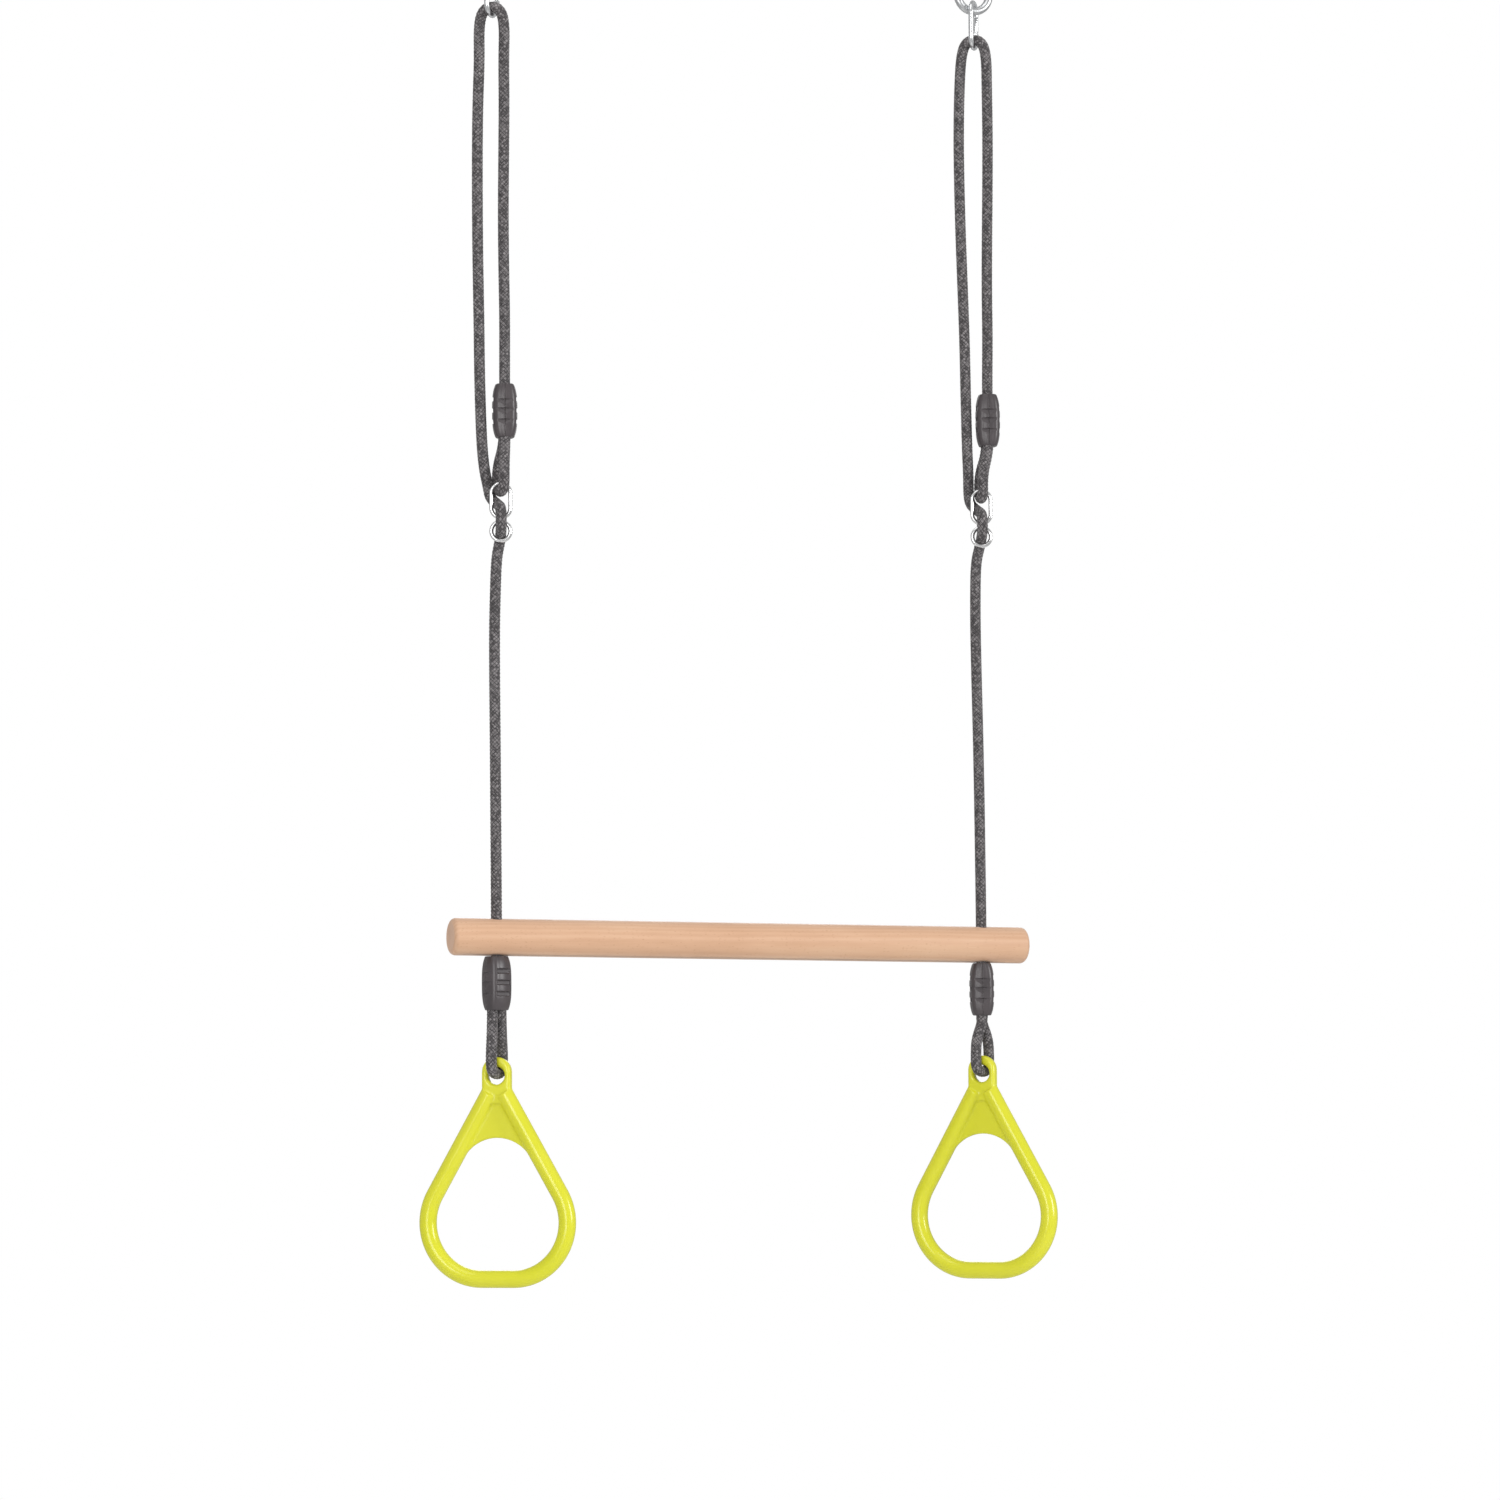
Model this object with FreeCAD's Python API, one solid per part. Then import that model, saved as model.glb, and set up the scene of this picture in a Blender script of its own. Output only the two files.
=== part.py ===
import FreeCAD, Part
import math
import os

# Children's swing trapeze: a wooden bar and two plastic hand rings on two adjustable ropes.
# Millimetres. X runs along the bar, Y points to the back, Z is up.
# The origin is midway between the two eye bolts, on the beam face that they screw into.

V = FreeCAD.Vector

# ---- driving dimensions ----
EYE_SPACING = 493.0         # between the two eye bolts
ROPE_SPACING = 490.0        # between the two rope holes of the bar
HANG_HEIGHT = 1278.5        # from the beam down to the lowest point of the hand rings
ROPE_D = 10.0

EYE_WIRE_D = 8.0
EYE_OUTER_D = 41.0
EYE_DROP = 25.0             # from the beam to the middle of the eye
SHANK_D = 8.0
SHANK_LENGTH = 45.0
SHANK_TIP = 2.0             # length of the shank's pointed end
SHANK_TIP_R = 2.5
COLLAR_D = 18.0
COLLAR_T = 5.0
NECK_TOP_R = 6.5            # the cone between the collar and the eye
NECK_LOW_R = 4.6
NECK_LENGTH = 6.0

LINK_WIRE_D = 5.0
LINK_WIDTH = 27.0           # outer size of the oval spring link
LINK_LENGTH = 50.0
LINK_PIN_D = 1.6
LINK_RISE = 2.0             # crossing the eye at an angle, the link sits this much higher
GATE_GAP = 20.0             # opening in the link's side that the gate closes
GATE_PLAY = 0.4
GATE_ROD_THINNER = 0.2      # the gate's rod is this much smaller in radius than the link's wire
GATE_ROD_ABOVE = 2.6        # and starts this far above its pin
TONGUE_T = 2.0              # room for the gate's tongue between the two ears
TONGUE_WIDTH = 3.4
TONGUE_PLAY = 0.2
PIN_PLAY = 0.05             # on the radius
PIN_ABOVE_EAR = 2.0
EAR_T = 1.2
EAR_GAP = 0.15              # from the tongue's room to an ear
EAR_HEIGHT = 4.2
EAR_INSET = 0.6             # an ear is this much narrower than the wire, each side
EAR_BELOW = 1.0             # it starts this far below the gate's opening

ADJ_WIRE_D = 4.0
ADJ_WIDTH = 22.0
ADJ_OVAL_LENGTH = 36.0
ADJ_WELD_R = 1.7
ADJ_WELD_LENGTH = 7.0

CLAMP_WIDTH = 25.5          # across the two rope channels
CLAMP_DEPTH = 24.0
CLAMP_END_WIDTH = 22.0
CLAMP_END_DEPTH = 17.5
CLAMP_LENGTH = 50.5
CLAMP_CORNER_R = 6.0
CLAMP_END_CORNER_R = 5.5
CLAMP_SHOULDER = 7.0        # the barrel is almost at its full width this far from its ends
CLAMP_BULGE = 0.8           # its faces are this much higher in the middle than at the corners
LEDGE_DEPTH = 1.8           # each ledge of a narrow face
LEDGE_RISE = 5.5
SLOT_DEPTH = 2.6            # each slot of a wide face
SLOT_LENGTH = 15.0
SLOT_HEIGHT = 4.4
CHANNEL_BEND_UP = 26.0      # the rope turns aside this far above the clamp's lower end
CHANNEL_PITCH = 10.0
CHANNEL_BEND_R = 20.0
CLAMP_STRAIGHT = 6.0        # the rope runs straight this far inside the clamp's top
CLAMP_STRAIGHT_ABOVE = 16.0
CLAMP_STRAIGHT_BELOW = 4.0
ADJUSTER_EYE_RISE = 16.0    # the rope eye's strands are parallel this far above the wire
BAR_STRAIGHT_ABOVE = 24.0   # the rope runs straight this far above the bar
BAR_JOINT_ABOVE = 1.0       # and is divided this far above it
TAIL_LENGTH = 20.0          # rope end held in the clamp's second channel

BAR_D = 35.0
BAR_LENGTH = 580.0
BAR_EDGE_R = 5.0
BAR_HOLE_D = 12.0
BAR_REST_GAP = 0.3

RING_TUBE_D = 16.5
RING_WIDTH = 152.5
RING_HEIGHT = 215.0
RING_CORNER_R = 60.8        # outer radius of the two lower corners
RING_ARM_ANGLE = 29.7       # lean of the two arms from upright, in degrees
LUG_WIDTH = 28.2
LUG_T = 10.0
LUG_HOLE_D = 16.4
LUG_EDGE_R = 2.9            # rounding of the lug's rims and of the rope hole's
LUG_BRIDGE = 9.2            # material above the rope hole
LUG_BEND_R = 6.5            # each of the two bends that take the rope round the bridge
WEB_T = 5.0
WEB_TOP = 171.4             # heights above the ring's lowest point
WEB_ARCH_TOP = 139.5
WEB_ARCH_R = 38.5
WEB_DEPTH = 24.0            # this far below the arch's top the web ends inside the arms
ARM_TOP = 181.0
NECK_Z = 187.0              # the lug's sides are upright above this height
FLARE_DROP = 9.0            # and run down and out from there, through this much below it
FLARE_OUT = 4.6             # this far outside the arm's centre line
FOOT_OUT = 3.6


SIDES = {
    # x_eye and x_rope: the eye bolt and the bar's rope hole; weld: the adjuster's waist;
    # adjuster and clamp: how far they hang to the right of the eye. Angles turn about Z, and
    # adjuster_eye is the rope eye's own turn on the adjuster's top wire.
    # upper_clamp and lower_clamp: their lower ends. Heights are above the rings' lowest point.
    "left": dict(x_eye=-EYE_SPACING / 2, x_rope=-ROPE_SPACING / 2, weld=720.0, adjuster=7.0,
                 adjuster_eye=-22.0, upper_clamp=797.5, clamp=11.0, eye_angle=25.0,
                 link_angle=42.0, crown_angle=32.0, lower_clamp=258.5, lower_clamp_angle=70.0,
                 ring_angle=34.5),
    "right": dict(x_eye=EYE_SPACING / 2, x_rope=ROPE_SPACING / 2, weld=730.0, adjuster=3.0,
                  adjuster_eye=-6.0, upper_clamp=807.5, clamp=10.0, eye_angle=0.0,
                  link_angle=35.0, crown_angle=35.0, lower_clamp=253.5, lower_clamp_angle=17.0,
                  ring_angle=45.5),
}
LOOP_ANGLE = 15.0           # the loops, upper clamps and adjusters are turned this far about Z
CROWN_R = 6.5               # half the loop's width where it goes over the link
CROWN_SHOULDER = 12.6       # and half its width at the crown's shoulders
CROWN_DROP = 13.0           # which are this far down
RING_EYE_SPREAD = 8.8       # a rope eye's strands are this far in front and behind over the ring
RING_EYE_SPLAY = 16.0       # at this height above it
RING_EYE_GUARD = 4.0        # and upright from this far above it down into the hole
RING_EYE_LEAN = 2.0         # they stand this far to each side
RING_EYE_NECK = 12.0        # they are parallel this far below the clamp

# Rope loop strands: (height above the rings' lowest point, distance right of the eye).
LEFT_STRAND = {
    "left": [(1157, -11.8), (1119, -13.3), (1080, -14.0), (1023, -14.2), (966, -13.9),
             (910, -13.0), (853, -12.6), (795, -11.0), (768, -8.6)],
    "right": [(1157, -14.6), (1119, -15.6), (1080, -15.7), (1023, -14.9), (966, -13.3),
              (910, -11.8), (853, -11.2), (805, -10.4), (778, -9.4)],
}
RIGHT_STRAND = {
    "left": [(910, 11.3), (955, 10.6), (1010, 10.2), (1066, 10.9), (1119, 11.5),
             (1157, 11.2)],
    "right": [(915, 10.8), (960, 10.5), (1010, 11.2), (1066, 12.3), (1119, 12.9),
              (1157, 12.6)],
}

# Through the adjuster: (right of its middle, behind it, above its weld).
WEAVE = [(-11.6, 7.4, 31.0), (-9.6, 9.0, 21.0), (-2.0, 6.6, 14.0), (0.0, -6.6, 9.5),
         (0.0, -7.6, -5.6), (0.0, 7.6, -16.4)]
WEAVE_BEND_R = 7.2          # round the adjuster's wires
WEAVE_START = 0.5           # the rope is divided this share of the way from the loop to the weave
WEAVE_END = 0.6             # and from the weave to the main rope
ARC_SHARE = 0.45            # an arc takes up this much of the shorter run beside it

# Main rope: (right of the bar's rope hole, behind it, height), from the adjuster down.
MAIN = {
    "left": [(3.0, 5.6, 684.0), (0.6, 2.0, 650.0), (-1.0, 0.4, 606.0), (-1.3, 0.2, 500.0)],
    "right": [(0.6, 5.6, 694.0), (-1.8, 2.0, 660.0), (-2.6, 0.4, 614.0), (-2.4, 0.2, 500.0)],
}

# ---- derived sizes ----
CLAMP_STEP = SIDES["left"]["lower_clamp"] - SIDES["right"]["lower_clamp"]
BAR_TILT = math.degrees(math.atan(CLAMP_STEP / ROPE_SPACING))   # it rests on both lower clamps
BAR_AXIS = (SIDES["right"]["lower_clamp"] + CLAMP_STEP / 2 + CLAMP_LENGTH + BAR_REST_GAP
            + BAR_D / 2)
ROPE_R = ROPE_D / 2
EYE_WIRE_R = EYE_WIRE_D / 2
EYE_RING_R = EYE_OUTER_D / 2 - EYE_WIRE_R
LINK_WIRE_R = LINK_WIRE_D / 2
LINK_R = LINK_WIDTH / 2 - LINK_WIRE_R
LINK_STRAIGHT = LINK_LENGTH - LINK_WIDTH
ADJ_WIRE_R = ADJ_WIRE_D / 2
ADJ_R = ADJ_WIDTH / 2 - ADJ_WIRE_R
RING_TUBE_R = RING_TUBE_D / 2
HINGE_Z = -EYE_DROP - EYE_RING_R
LOOP_CLEAR = 0.3
LINK_TOP_Z = HINGE_Z + EYE_WIRE_R + LINK_WIRE_R + LINK_RISE
CROWN_Z = LINK_TOP_Z - (LINK_LENGTH - LINK_WIRE_D) + LINK_WIRE_R + ROPE_R + LOOP_CLEAR


def height(above_rings):
    """Z of a height that is given above the hand rings' lowest point."""
    return above_rings - HANG_HEIGHT


def turned(angle, right, back, z):
    """A point given to the right and to the back in axes turned clockwise by angle about Z."""
    a = math.radians(angle)
    return V(right * math.cos(a) + back * math.sin(a), back * math.cos(a) - right * math.sin(a), z)


def side_point(side, right, back, above_rings):
    """A point of a rope loop, in the loop's turned axes, seen from its eye bolt."""
    return V(SIDES[side]["x_eye"], 0, height(above_rings)) + turned(LOOP_ANGLE, right, back, 0)


def placed(shape, x, y, z, angle):
    """A copy of a shape turned clockwise by angle about Z, then moved."""
    copy = shape.copy()
    spot = FreeCAD.Placement(V(x, y, z), FreeCAD.Rotation(V(0, 0, 1), -angle))
    copy.Placement = spot.multiply(shape.Placement)
    return copy


def save(shape, name):
    if not shape.isValid():
        raise RuntimeError(name + " is not valid")
    if shape.ShapeType == "Compound" and len(shape.Solids) == 1:
        shape = shape.Solids[0]
    shape.exportStep("parts/" + name + ".step")
    print("%-32s solids %d volume %10.1f" % (name, len(shape.Solids), shape.Volume))


def circle_wire(radius, centre, normal):
    return Part.Wire([Part.makeCircle(radius, centre, normal)])


# ---- ropes ----
def filleted_path(points, radii=None):
    """Straight runs joined by tangent arcs. Each radius is the largest its two runs allow."""
    edges = []
    start = points[0]
    used = []
    for i in range(1, len(points) - 1):
        back = points[i - 1] - points[i]
        ahead = points[i + 1] - points[i]
        turn = math.pi - back.getAngle(ahead)
        shorter = min(back.Length, ahead.Length)
        radius = ARC_SHARE * shorter / math.tan(turn / 2)
        if radii and radii[i]:
            radius = min(radius, radii[i])
        cut = radius * math.tan(turn / 2)
        enter = points[i] + back.normalize() * cut
        leave = points[i] + ahead.normalize() * cut
        bisector = (back + ahead).normalize()
        middle = points[i] + bisector * (radius / math.cos(turn / 2) - radius)
        edges.append(Part.LineSegment(start, enter).toShape())
        edges.append(Part.Arc(enter, middle, leave).toShape())
        used.append(round(radius, 1))
        start = leave
    edges.append(Part.LineSegment(start, points[-1]).toShape())
    return Part.Wire(edges), used


def rope_tube(points, radii=None):
    path, used = filleted_path(points, radii)
    first = path.Edges[0]
    direction = first.tangentAt(first.FirstParameter)
    solid = path.makePipeShell([circle_wire(ROPE_R, points[0], direction)], True, False)
    ratio = solid.Volume / (math.pi * ROPE_R ** 2 * path.Length)
    return solid, (path.Length, ratio, used)


def save_rope(name, points, radii=None):
    """A rope tube along a route. Prints its length, volume over section by length, and radii."""
    solid, (length, ratio, used) = rope_tube(points, radii)
    save(solid, name)
    print("    length %.1f, volume ratio %.4f, radii %s" % (length, ratio, used))


# Through a clamp, from its top: (out from the middle, above the lower end). The rope enters in
# the middle of the top and leaves through one side of the lower end, beside its own tail.
CLAMP_RUN = [(0.0, CLAMP_LENGTH), (0.0, CLAMP_LENGTH - CLAMP_STRAIGHT),
             (-CHANNEL_PITCH / 2, CHANNEL_BEND_UP)]


def adjuster_eye_points(side):
    """The rope's tail end: out of the upper clamp, round the adjuster's top wire and back up."""
    data = SIDES[side]
    wire_top = data["weld"] + ADJ_WIRE_R + ADJ_OVAL_LENGTH - ADJ_WIRE_D
    reach = ADJ_WIRE_R + ROPE_R + LOOP_CLEAR
    mouth = data["upper_clamp"]
    s_adj, s_clamp = data["adjuster"], data["clamp"]
    half = CHANNEL_PITCH / 2
    aside, behind = reach * math.tan(math.radians(data["adjuster_eye"])), reach
    route = [
        (s_clamp, half, mouth + TAIL_LENGTH),
        (s_clamp, half, mouth - CLAMP_STRAIGHT_BELOW),
        (s_adj + aside, behind, wire_top + ADJUSTER_EYE_RISE),
        (s_adj + aside, behind, wire_top - reach),
        (s_adj - aside, -behind, wire_top - reach),
        (s_adj - aside, -behind, wire_top + ADJUSTER_EYE_RISE),
        (s_clamp, -half, mouth - CLAMP_STRAIGHT_BELOW),
    ]
    route += [(s_clamp, out, mouth + up) for out, up in CLAMP_RUN[::-1]]
    radii = [None, CHANNEL_BEND_R, None, reach, reach, None] + [CHANNEL_BEND_R] * 3 + [None]
    return [side_point(side, *p) for p in route], radii


def loop_points(side):
    """The loop: out of the clamp's top, over the spring link and down towards the adjuster."""
    data = SIDES[side]
    top = data["upper_clamp"] + CLAMP_LENGTH
    points = [side_point(side, data["clamp"], 0, top)]
    points.append(side_point(side, data["clamp"], 0, top + CLAMP_STRAIGHT_ABOVE))
    points += [side_point(side, right, 0.0, z) for z, right in RIGHT_STRAND[side]]
    eye = V(data["x_eye"], 0, 0)
    crown = [(CROWN_SHOULDER, CROWN_DROP), (CROWN_R, 0.0),
             (-CROWN_R, 0.0), (-CROWN_SHOULDER, CROWN_DROP)]
    points += [eye + turned(data["crown_angle"], right, 0, CROWN_Z - drop) for right, drop in crown]
    points += [side_point(side, right, 0.0, z) for z, right in LEFT_STRAND[side]]
    points.append(weave_points(side)[0])
    return points


def weave_corners(side):
    data = SIDES[side]
    return [side_point(side, data["adjuster"] + right, back, data["weld"] + up)
            for right, back, up in WEAVE]


def main_corners(side):
    data = SIDES[side]
    bar_top = BAR_AXIS + BAR_D / 2
    points = [V(data["x_rope"] + right, back, height(z)) for right, back, z in MAIN[side]]
    points.append(V(data["x_rope"], 0, height(bar_top + BAR_STRAIGHT_ABOVE)))
    points.append(V(data["x_rope"], 0, height(bar_top + BAR_JOINT_ABOVE)))
    return points


def between(a, b, share):
    return a + (b - a) * share


def weave_points(side):
    """Behind the adjuster's side, through its oval, over its waist and back through its ring."""
    last_z, last_right = LEFT_STRAND[side][-1]
    before = side_point(side, last_right, 0, last_z)
    corners = weave_corners(side)
    start = between(before, corners[0], WEAVE_START)
    end = between(corners[-1], main_corners(side)[0], WEAVE_END)
    return [start] + corners + [end]


def main_points(side):
    """From below the adjuster down to just above the bar."""
    return [weave_points(side)[-1]] + main_corners(side)


def clamp_channel(side, sign, up):
    """A point on a rope channel's line, above the lower end of the lower clamp."""
    data = SIDES[side]
    offset = turned(data["lower_clamp_angle"], 0, sign * CHANNEL_PITCH / 2, 0)
    return V(data["x_rope"], 0, height(data["lower_clamp"] + up)) + offset


def bar_rope_points(side):
    """Through the bar's hole and down the lower clamp, out beside the tail."""
    data = SIDES[side]
    points = [V(data["x_rope"], 0, height(BAR_AXIS + BAR_D / 2 + BAR_JOINT_ABOVE))]
    for out, up in CLAMP_RUN[1:] + [(-CHANNEL_PITCH / 2, 0.0)]:
        offset = turned(data["lower_clamp_angle"], 0, out, 0)
        points.append(V(data["x_rope"], 0, height(data["lower_clamp"] + up)) + offset)
    return points, [None, CHANNEL_BEND_R, CHANNEL_BEND_R, None]


def tail_points(side):
    """The rope's other end, in the lower clamp's second channel."""
    return [clamp_channel(side, 1, 0.0), clamp_channel(side, 1, TAIL_LENGTH)]


BRIDGE_AXIS = RING_HEIGHT - LUG_BRIDGE / 2      # middle of the material over the ring's rope hole


def ring_eye_points(side):
    """From the lower clamp, through the hand ring's hole from the front, and back up."""
    data = SIDES[side]
    # the bridge turns inside the rope's bend, so the bend clears its corners all round
    corner = math.hypot(LUG_T / 2 - LUG_EDGE_R, LUG_BRIDGE / 2 - LUG_EDGE_R) + LUG_EDGE_R
    half = corner + ROPE_R + LOOP_CLEAR
    low = BRIDGE_AXIS - half
    axis = V(data["x_rope"], 0, 0)

    def strand(sign):
        mouth = clamp_channel(side, sign, 0.0)
        neck = clamp_channel(side, sign, -RING_EYE_NECK)
        steps = [(RING_EYE_SPREAD, RING_HEIGHT + RING_EYE_SPLAY),
                 (half, RING_HEIGHT + RING_EYE_GUARD), (half, low)]
        return [mouth, neck] + [
            axis + turned(data["ring_angle"], sign * RING_EYE_LEAN, sign * back, height(up))
            for back, up in steps]

    radii = [None] * 4 + [LUG_BEND_R] * 2 + [None] * 4
    return strand(-1) + strand(1)[::-1], radii


# ---- metal parts ----
def eye_bolt():
    """A forged eye in the XZ plane, with a collar that seats on the beam and a threaded shank."""
    eye = Part.makeTorus(EYE_RING_R, EYE_WIRE_R, V(0, 0, -EYE_DROP), V(0, 1, 0))
    neck = Part.makeCone(NECK_TOP_R, NECK_LOW_R, NECK_LENGTH, V(0, 0, -COLLAR_T), V(0, 0, -1))
    collar = Part.makeCylinder(COLLAR_D / 2, COLLAR_T, V(0, 0, -COLLAR_T))
    plain = SHANK_LENGTH - SHANK_TIP
    shank = Part.makeCylinder(SHANK_D / 2, plain)
    tip = Part.makeCone(SHANK_D / 2, SHANK_TIP_R, SHANK_TIP, V(0, 0, plain))
    return eye.fuse([neck, collar, shank, tip]).removeSplitter()


def oval_wire(half_width, straight, low):
    """A closed oval in the YZ plane: two half circles and two straights, lowest point at low."""
    bottom = low + half_width
    top = bottom + straight
    return Part.Wire([
        Part.LineSegment(V(0, half_width, bottom), V(0, half_width, top)).toShape(),
        Part.Arc(V(0, half_width, top), V(0, 0, top + half_width), V(0, -half_width, top)).toShape(),
        Part.LineSegment(V(0, -half_width, top), V(0, -half_width, bottom)).toShape(),
        Part.Arc(V(0, -half_width, bottom), V(0, 0, low), V(0, half_width, bottom)).toShape(),
    ])


def swept_wire(path, radius):
    edge = path.Edges[0]
    start = edge.valueAt(edge.FirstParameter)
    section = circle_wire(radius, start, edge.tangentAt(edge.FirstParameter))
    return path.makePipeShell([section], True, False)


LINK_LOW = -(LINK_LENGTH - LINK_WIRE_D)     # bottom wire centre, from the top wire centre
GATE_MIDDLE = LINK_LOW + LINK_R + LINK_STRAIGHT / 2
GATE_PIN_Z = GATE_MIDDLE - GATE_GAP / 2 + PIN_ABOVE_EAR
ACROSS = 8.0                # longer than any part of the link is thick, for cutting through it


def link_body():
    """The open oval of the spring link, in the YZ plane; its gate side is at +Y."""
    oval = swept_wire(oval_wire(LINK_R, LINK_STRAIGHT, LINK_LOW), LINK_WIRE_R)
    gap_low = GATE_MIDDLE - GATE_GAP / 2
    gap = Part.makeBox(ACROSS, ACROSS, GATE_GAP, V(-ACROSS / 2, LINK_R - ACROSS / 2, gap_low))
    body = oval.cut(gap)
    for sign in (-1, 1):
        x = sign * (TONGUE_T / 2 + EAR_GAP + EAR_T / 2)
        corner = V(x - EAR_T / 2, LINK_R - LINK_WIRE_R + EAR_INSET, gap_low - EAR_BELOW)
        ear = Part.makeBox(EAR_T, LINK_WIRE_D - 2 * EAR_INSET, EAR_HEIGHT, corner)
        body = body.fuse(ear)
    hole = Part.makeCylinder(LINK_PIN_D / 2, ACROSS, V(-ACROSS / 2, LINK_R, GATE_PIN_Z), V(1, 0, 0))
    return body.cut(hole).removeSplitter()


def link_pin():
    length = TONGUE_T + 2 * (EAR_GAP + EAR_T)
    return Part.makeCylinder(LINK_PIN_D / 2, length, V(-length / 2, LINK_R, GATE_PIN_Z), V(1, 0, 0))


def link_gate():
    """The gate rod, with a flat tongue that turns on the pin."""
    high = GATE_MIDDLE + GATE_GAP / 2 - GATE_PLAY
    rod_low = GATE_PIN_Z + GATE_ROD_ABOVE
    rod = Part.makeCylinder(LINK_WIRE_R - GATE_ROD_THINNER, high - rod_low, V(0, LINK_R, rod_low))
    tongue_t = TONGUE_T - TONGUE_PLAY
    into_rod = 1.0
    tongue = Part.makeBox(tongue_t, TONGUE_WIDTH, rod_low - GATE_PIN_Z + into_rod,
                          V(-tongue_t / 2, LINK_R - TONGUE_WIDTH / 2, GATE_PIN_Z))
    end = Part.makeCylinder(TONGUE_WIDTH / 2, tongue_t, V(-tongue_t / 2, LINK_R, GATE_PIN_Z), V(1, 0, 0))
    tongue = tongue.fuse(end)
    hole = Part.makeCylinder(LINK_PIN_D / 2 + PIN_PLAY, ACROSS, V(-ACROSS / 2, LINK_R, GATE_PIN_Z),
                             V(1, 0, 0))
    return rod.fuse(tongue).cut(hole).removeSplitter()


def adjuster():
    """A figure of eight of round wire in the XZ plane: an oval over a ring, welded at the waist."""
    oval = swept_wire(oval_wire(ADJ_R, ADJ_OVAL_LENGTH - ADJ_WIDTH, ADJ_WIRE_R), ADJ_WIRE_R)
    oval.rotate(V(0, 0, 0), V(0, 0, 1), 90)
    ring = Part.makeTorus(ADJ_R, ADJ_WIRE_R, V(0, 0, -ADJ_R - ADJ_WIRE_R), V(0, 1, 0))
    weld = Part.makeCylinder(ADJ_WELD_R, ADJ_WELD_LENGTH, V(-ADJ_WELD_LENGTH / 2, 0, 0), V(1, 0, 0))
    return oval.fuse([ring, weld]).removeSplitter()


# ---- plastic clamps ----
def rounded_section(width, depth, radius, z):
    """A rectangle with rounded corners and slightly bulging sides, as one closed wire."""
    x, y = width / 2 - CLAMP_BULGE, depth / 2 - CLAMP_BULGE
    c = radius * (1 - math.sqrt(0.5))
    edges = []
    corners = [(1, 1), (-1, 1), (-1, -1), (1, -1)]
    points = []
    for i, (sx, sy) in enumerate(corners):
        along_x = V(sx * (x - radius), sy * y, z)
        along_y = V(sx * x, sy * (y - radius), z)
        middle = V(sx * (x - c), sy * (y - c), z)
        first, last = (along_y, along_x) if i % 2 == 0 else (along_x, along_y)
        points.append((first, middle, last))
    crests = [V(0, depth / 2, z), V(-width / 2, 0, z), V(0, -depth / 2, z), V(width / 2, 0, z)]
    for i, (first, middle, last) in enumerate(points):
        edges.append(Part.Arc(first, middle, last).toShape())
        edges.append(Part.Arc(last, crests[i], points[(i + 1) % 4][0]).toShape())
    return Part.Wire(edges)


SAW_HEIGHTS = (35.4, 26.8, 16.2)    # ledges on the narrow faces, above the clamp's lower end
SLOT_HEIGHTS = (36.4, 25.8, 15.2)   # slots on the wide faces


def clamp_body():
    """The outside of a clamp: a barrel with ledges on the narrow faces and slots on the wide ones."""
    narrowing = 1 / 3           # at the shoulders, as a share of the ends'
    near_width = CLAMP_WIDTH - (CLAMP_WIDTH - CLAMP_END_WIDTH) * narrowing
    near_depth = CLAMP_DEPTH - (CLAMP_DEPTH - CLAMP_END_DEPTH) * narrowing
    low_end = (CLAMP_END_WIDTH, CLAMP_END_DEPTH, CLAMP_END_CORNER_R)
    near_end = (near_width, near_depth, (CLAMP_CORNER_R + CLAMP_END_CORNER_R) / 2)
    middle = (CLAMP_WIDTH, CLAMP_DEPTH, CLAMP_CORNER_R)
    stations = [(0.0, low_end), (CLAMP_SHOULDER, near_end), (CLAMP_LENGTH / 2, middle),
                (CLAMP_LENGTH - CLAMP_SHOULDER, near_end), (CLAMP_LENGTH, low_end)]
    sections = [rounded_section(*size, z) for z, size in stations]
    body = Part.makeLoft(sections, True, False)
    cuts = []
    for sign in (-1, 1):
        for z in SAW_HEIGHTS:
            x = CLAMP_WIDTH / 2
            low = z - LEDGE_RISE
            corners = [V(sign * (x + 1), -20, z), V(sign * (x - LEDGE_DEPTH), -20, z),
                       V(sign * x, -20, low), V(sign * (x + 1), -20, low)]
            face = Part.Face(Part.makePolygon(corners + corners[:1]))
            cuts.append(face.extrude(V(0, 40, 0)))
        for z in SLOT_HEIGHTS:
            y = sign * CLAMP_DEPTH / 2
            low_y = y - SLOT_DEPTH if sign > 0 else y - 1
            corner = V(-SLOT_LENGTH / 2, low_y, z - SLOT_HEIGHT / 2)
            cuts.append(Part.makeBox(SLOT_LENGTH, SLOT_DEPTH + 1, SLOT_HEIGHT, corner))
    return body.cut(cuts)


def clamp_half(sign):
    """Half a clamp, split through the two rope channels: front half at -Y, back half at +Y."""
    body = clamp_body()
    keep = Part.makeBox(60, 30, CLAMP_LENGTH + 2, V(-30, 0 if sign > 0 else -30, -1))
    half = body.common(keep)
    run = [V(out, 0, up) for out, up in CLAMP_RUN] + [V(-CHANNEL_PITCH / 2, 0, 0)]
    run[0] = run[0] + V(0, 0, 2)
    run[-1] = run[-1] - V(0, 0, 2)
    channel, _ = rope_tube(run, [None, CHANNEL_BEND_R, CHANNEL_BEND_R, None])
    tail = Part.makeCylinder(ROPE_R, TAIL_LENGTH + 2, V(CHANNEL_PITCH / 2, 0, -2))
    return half.cut(channel).cut(tail)


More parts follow.
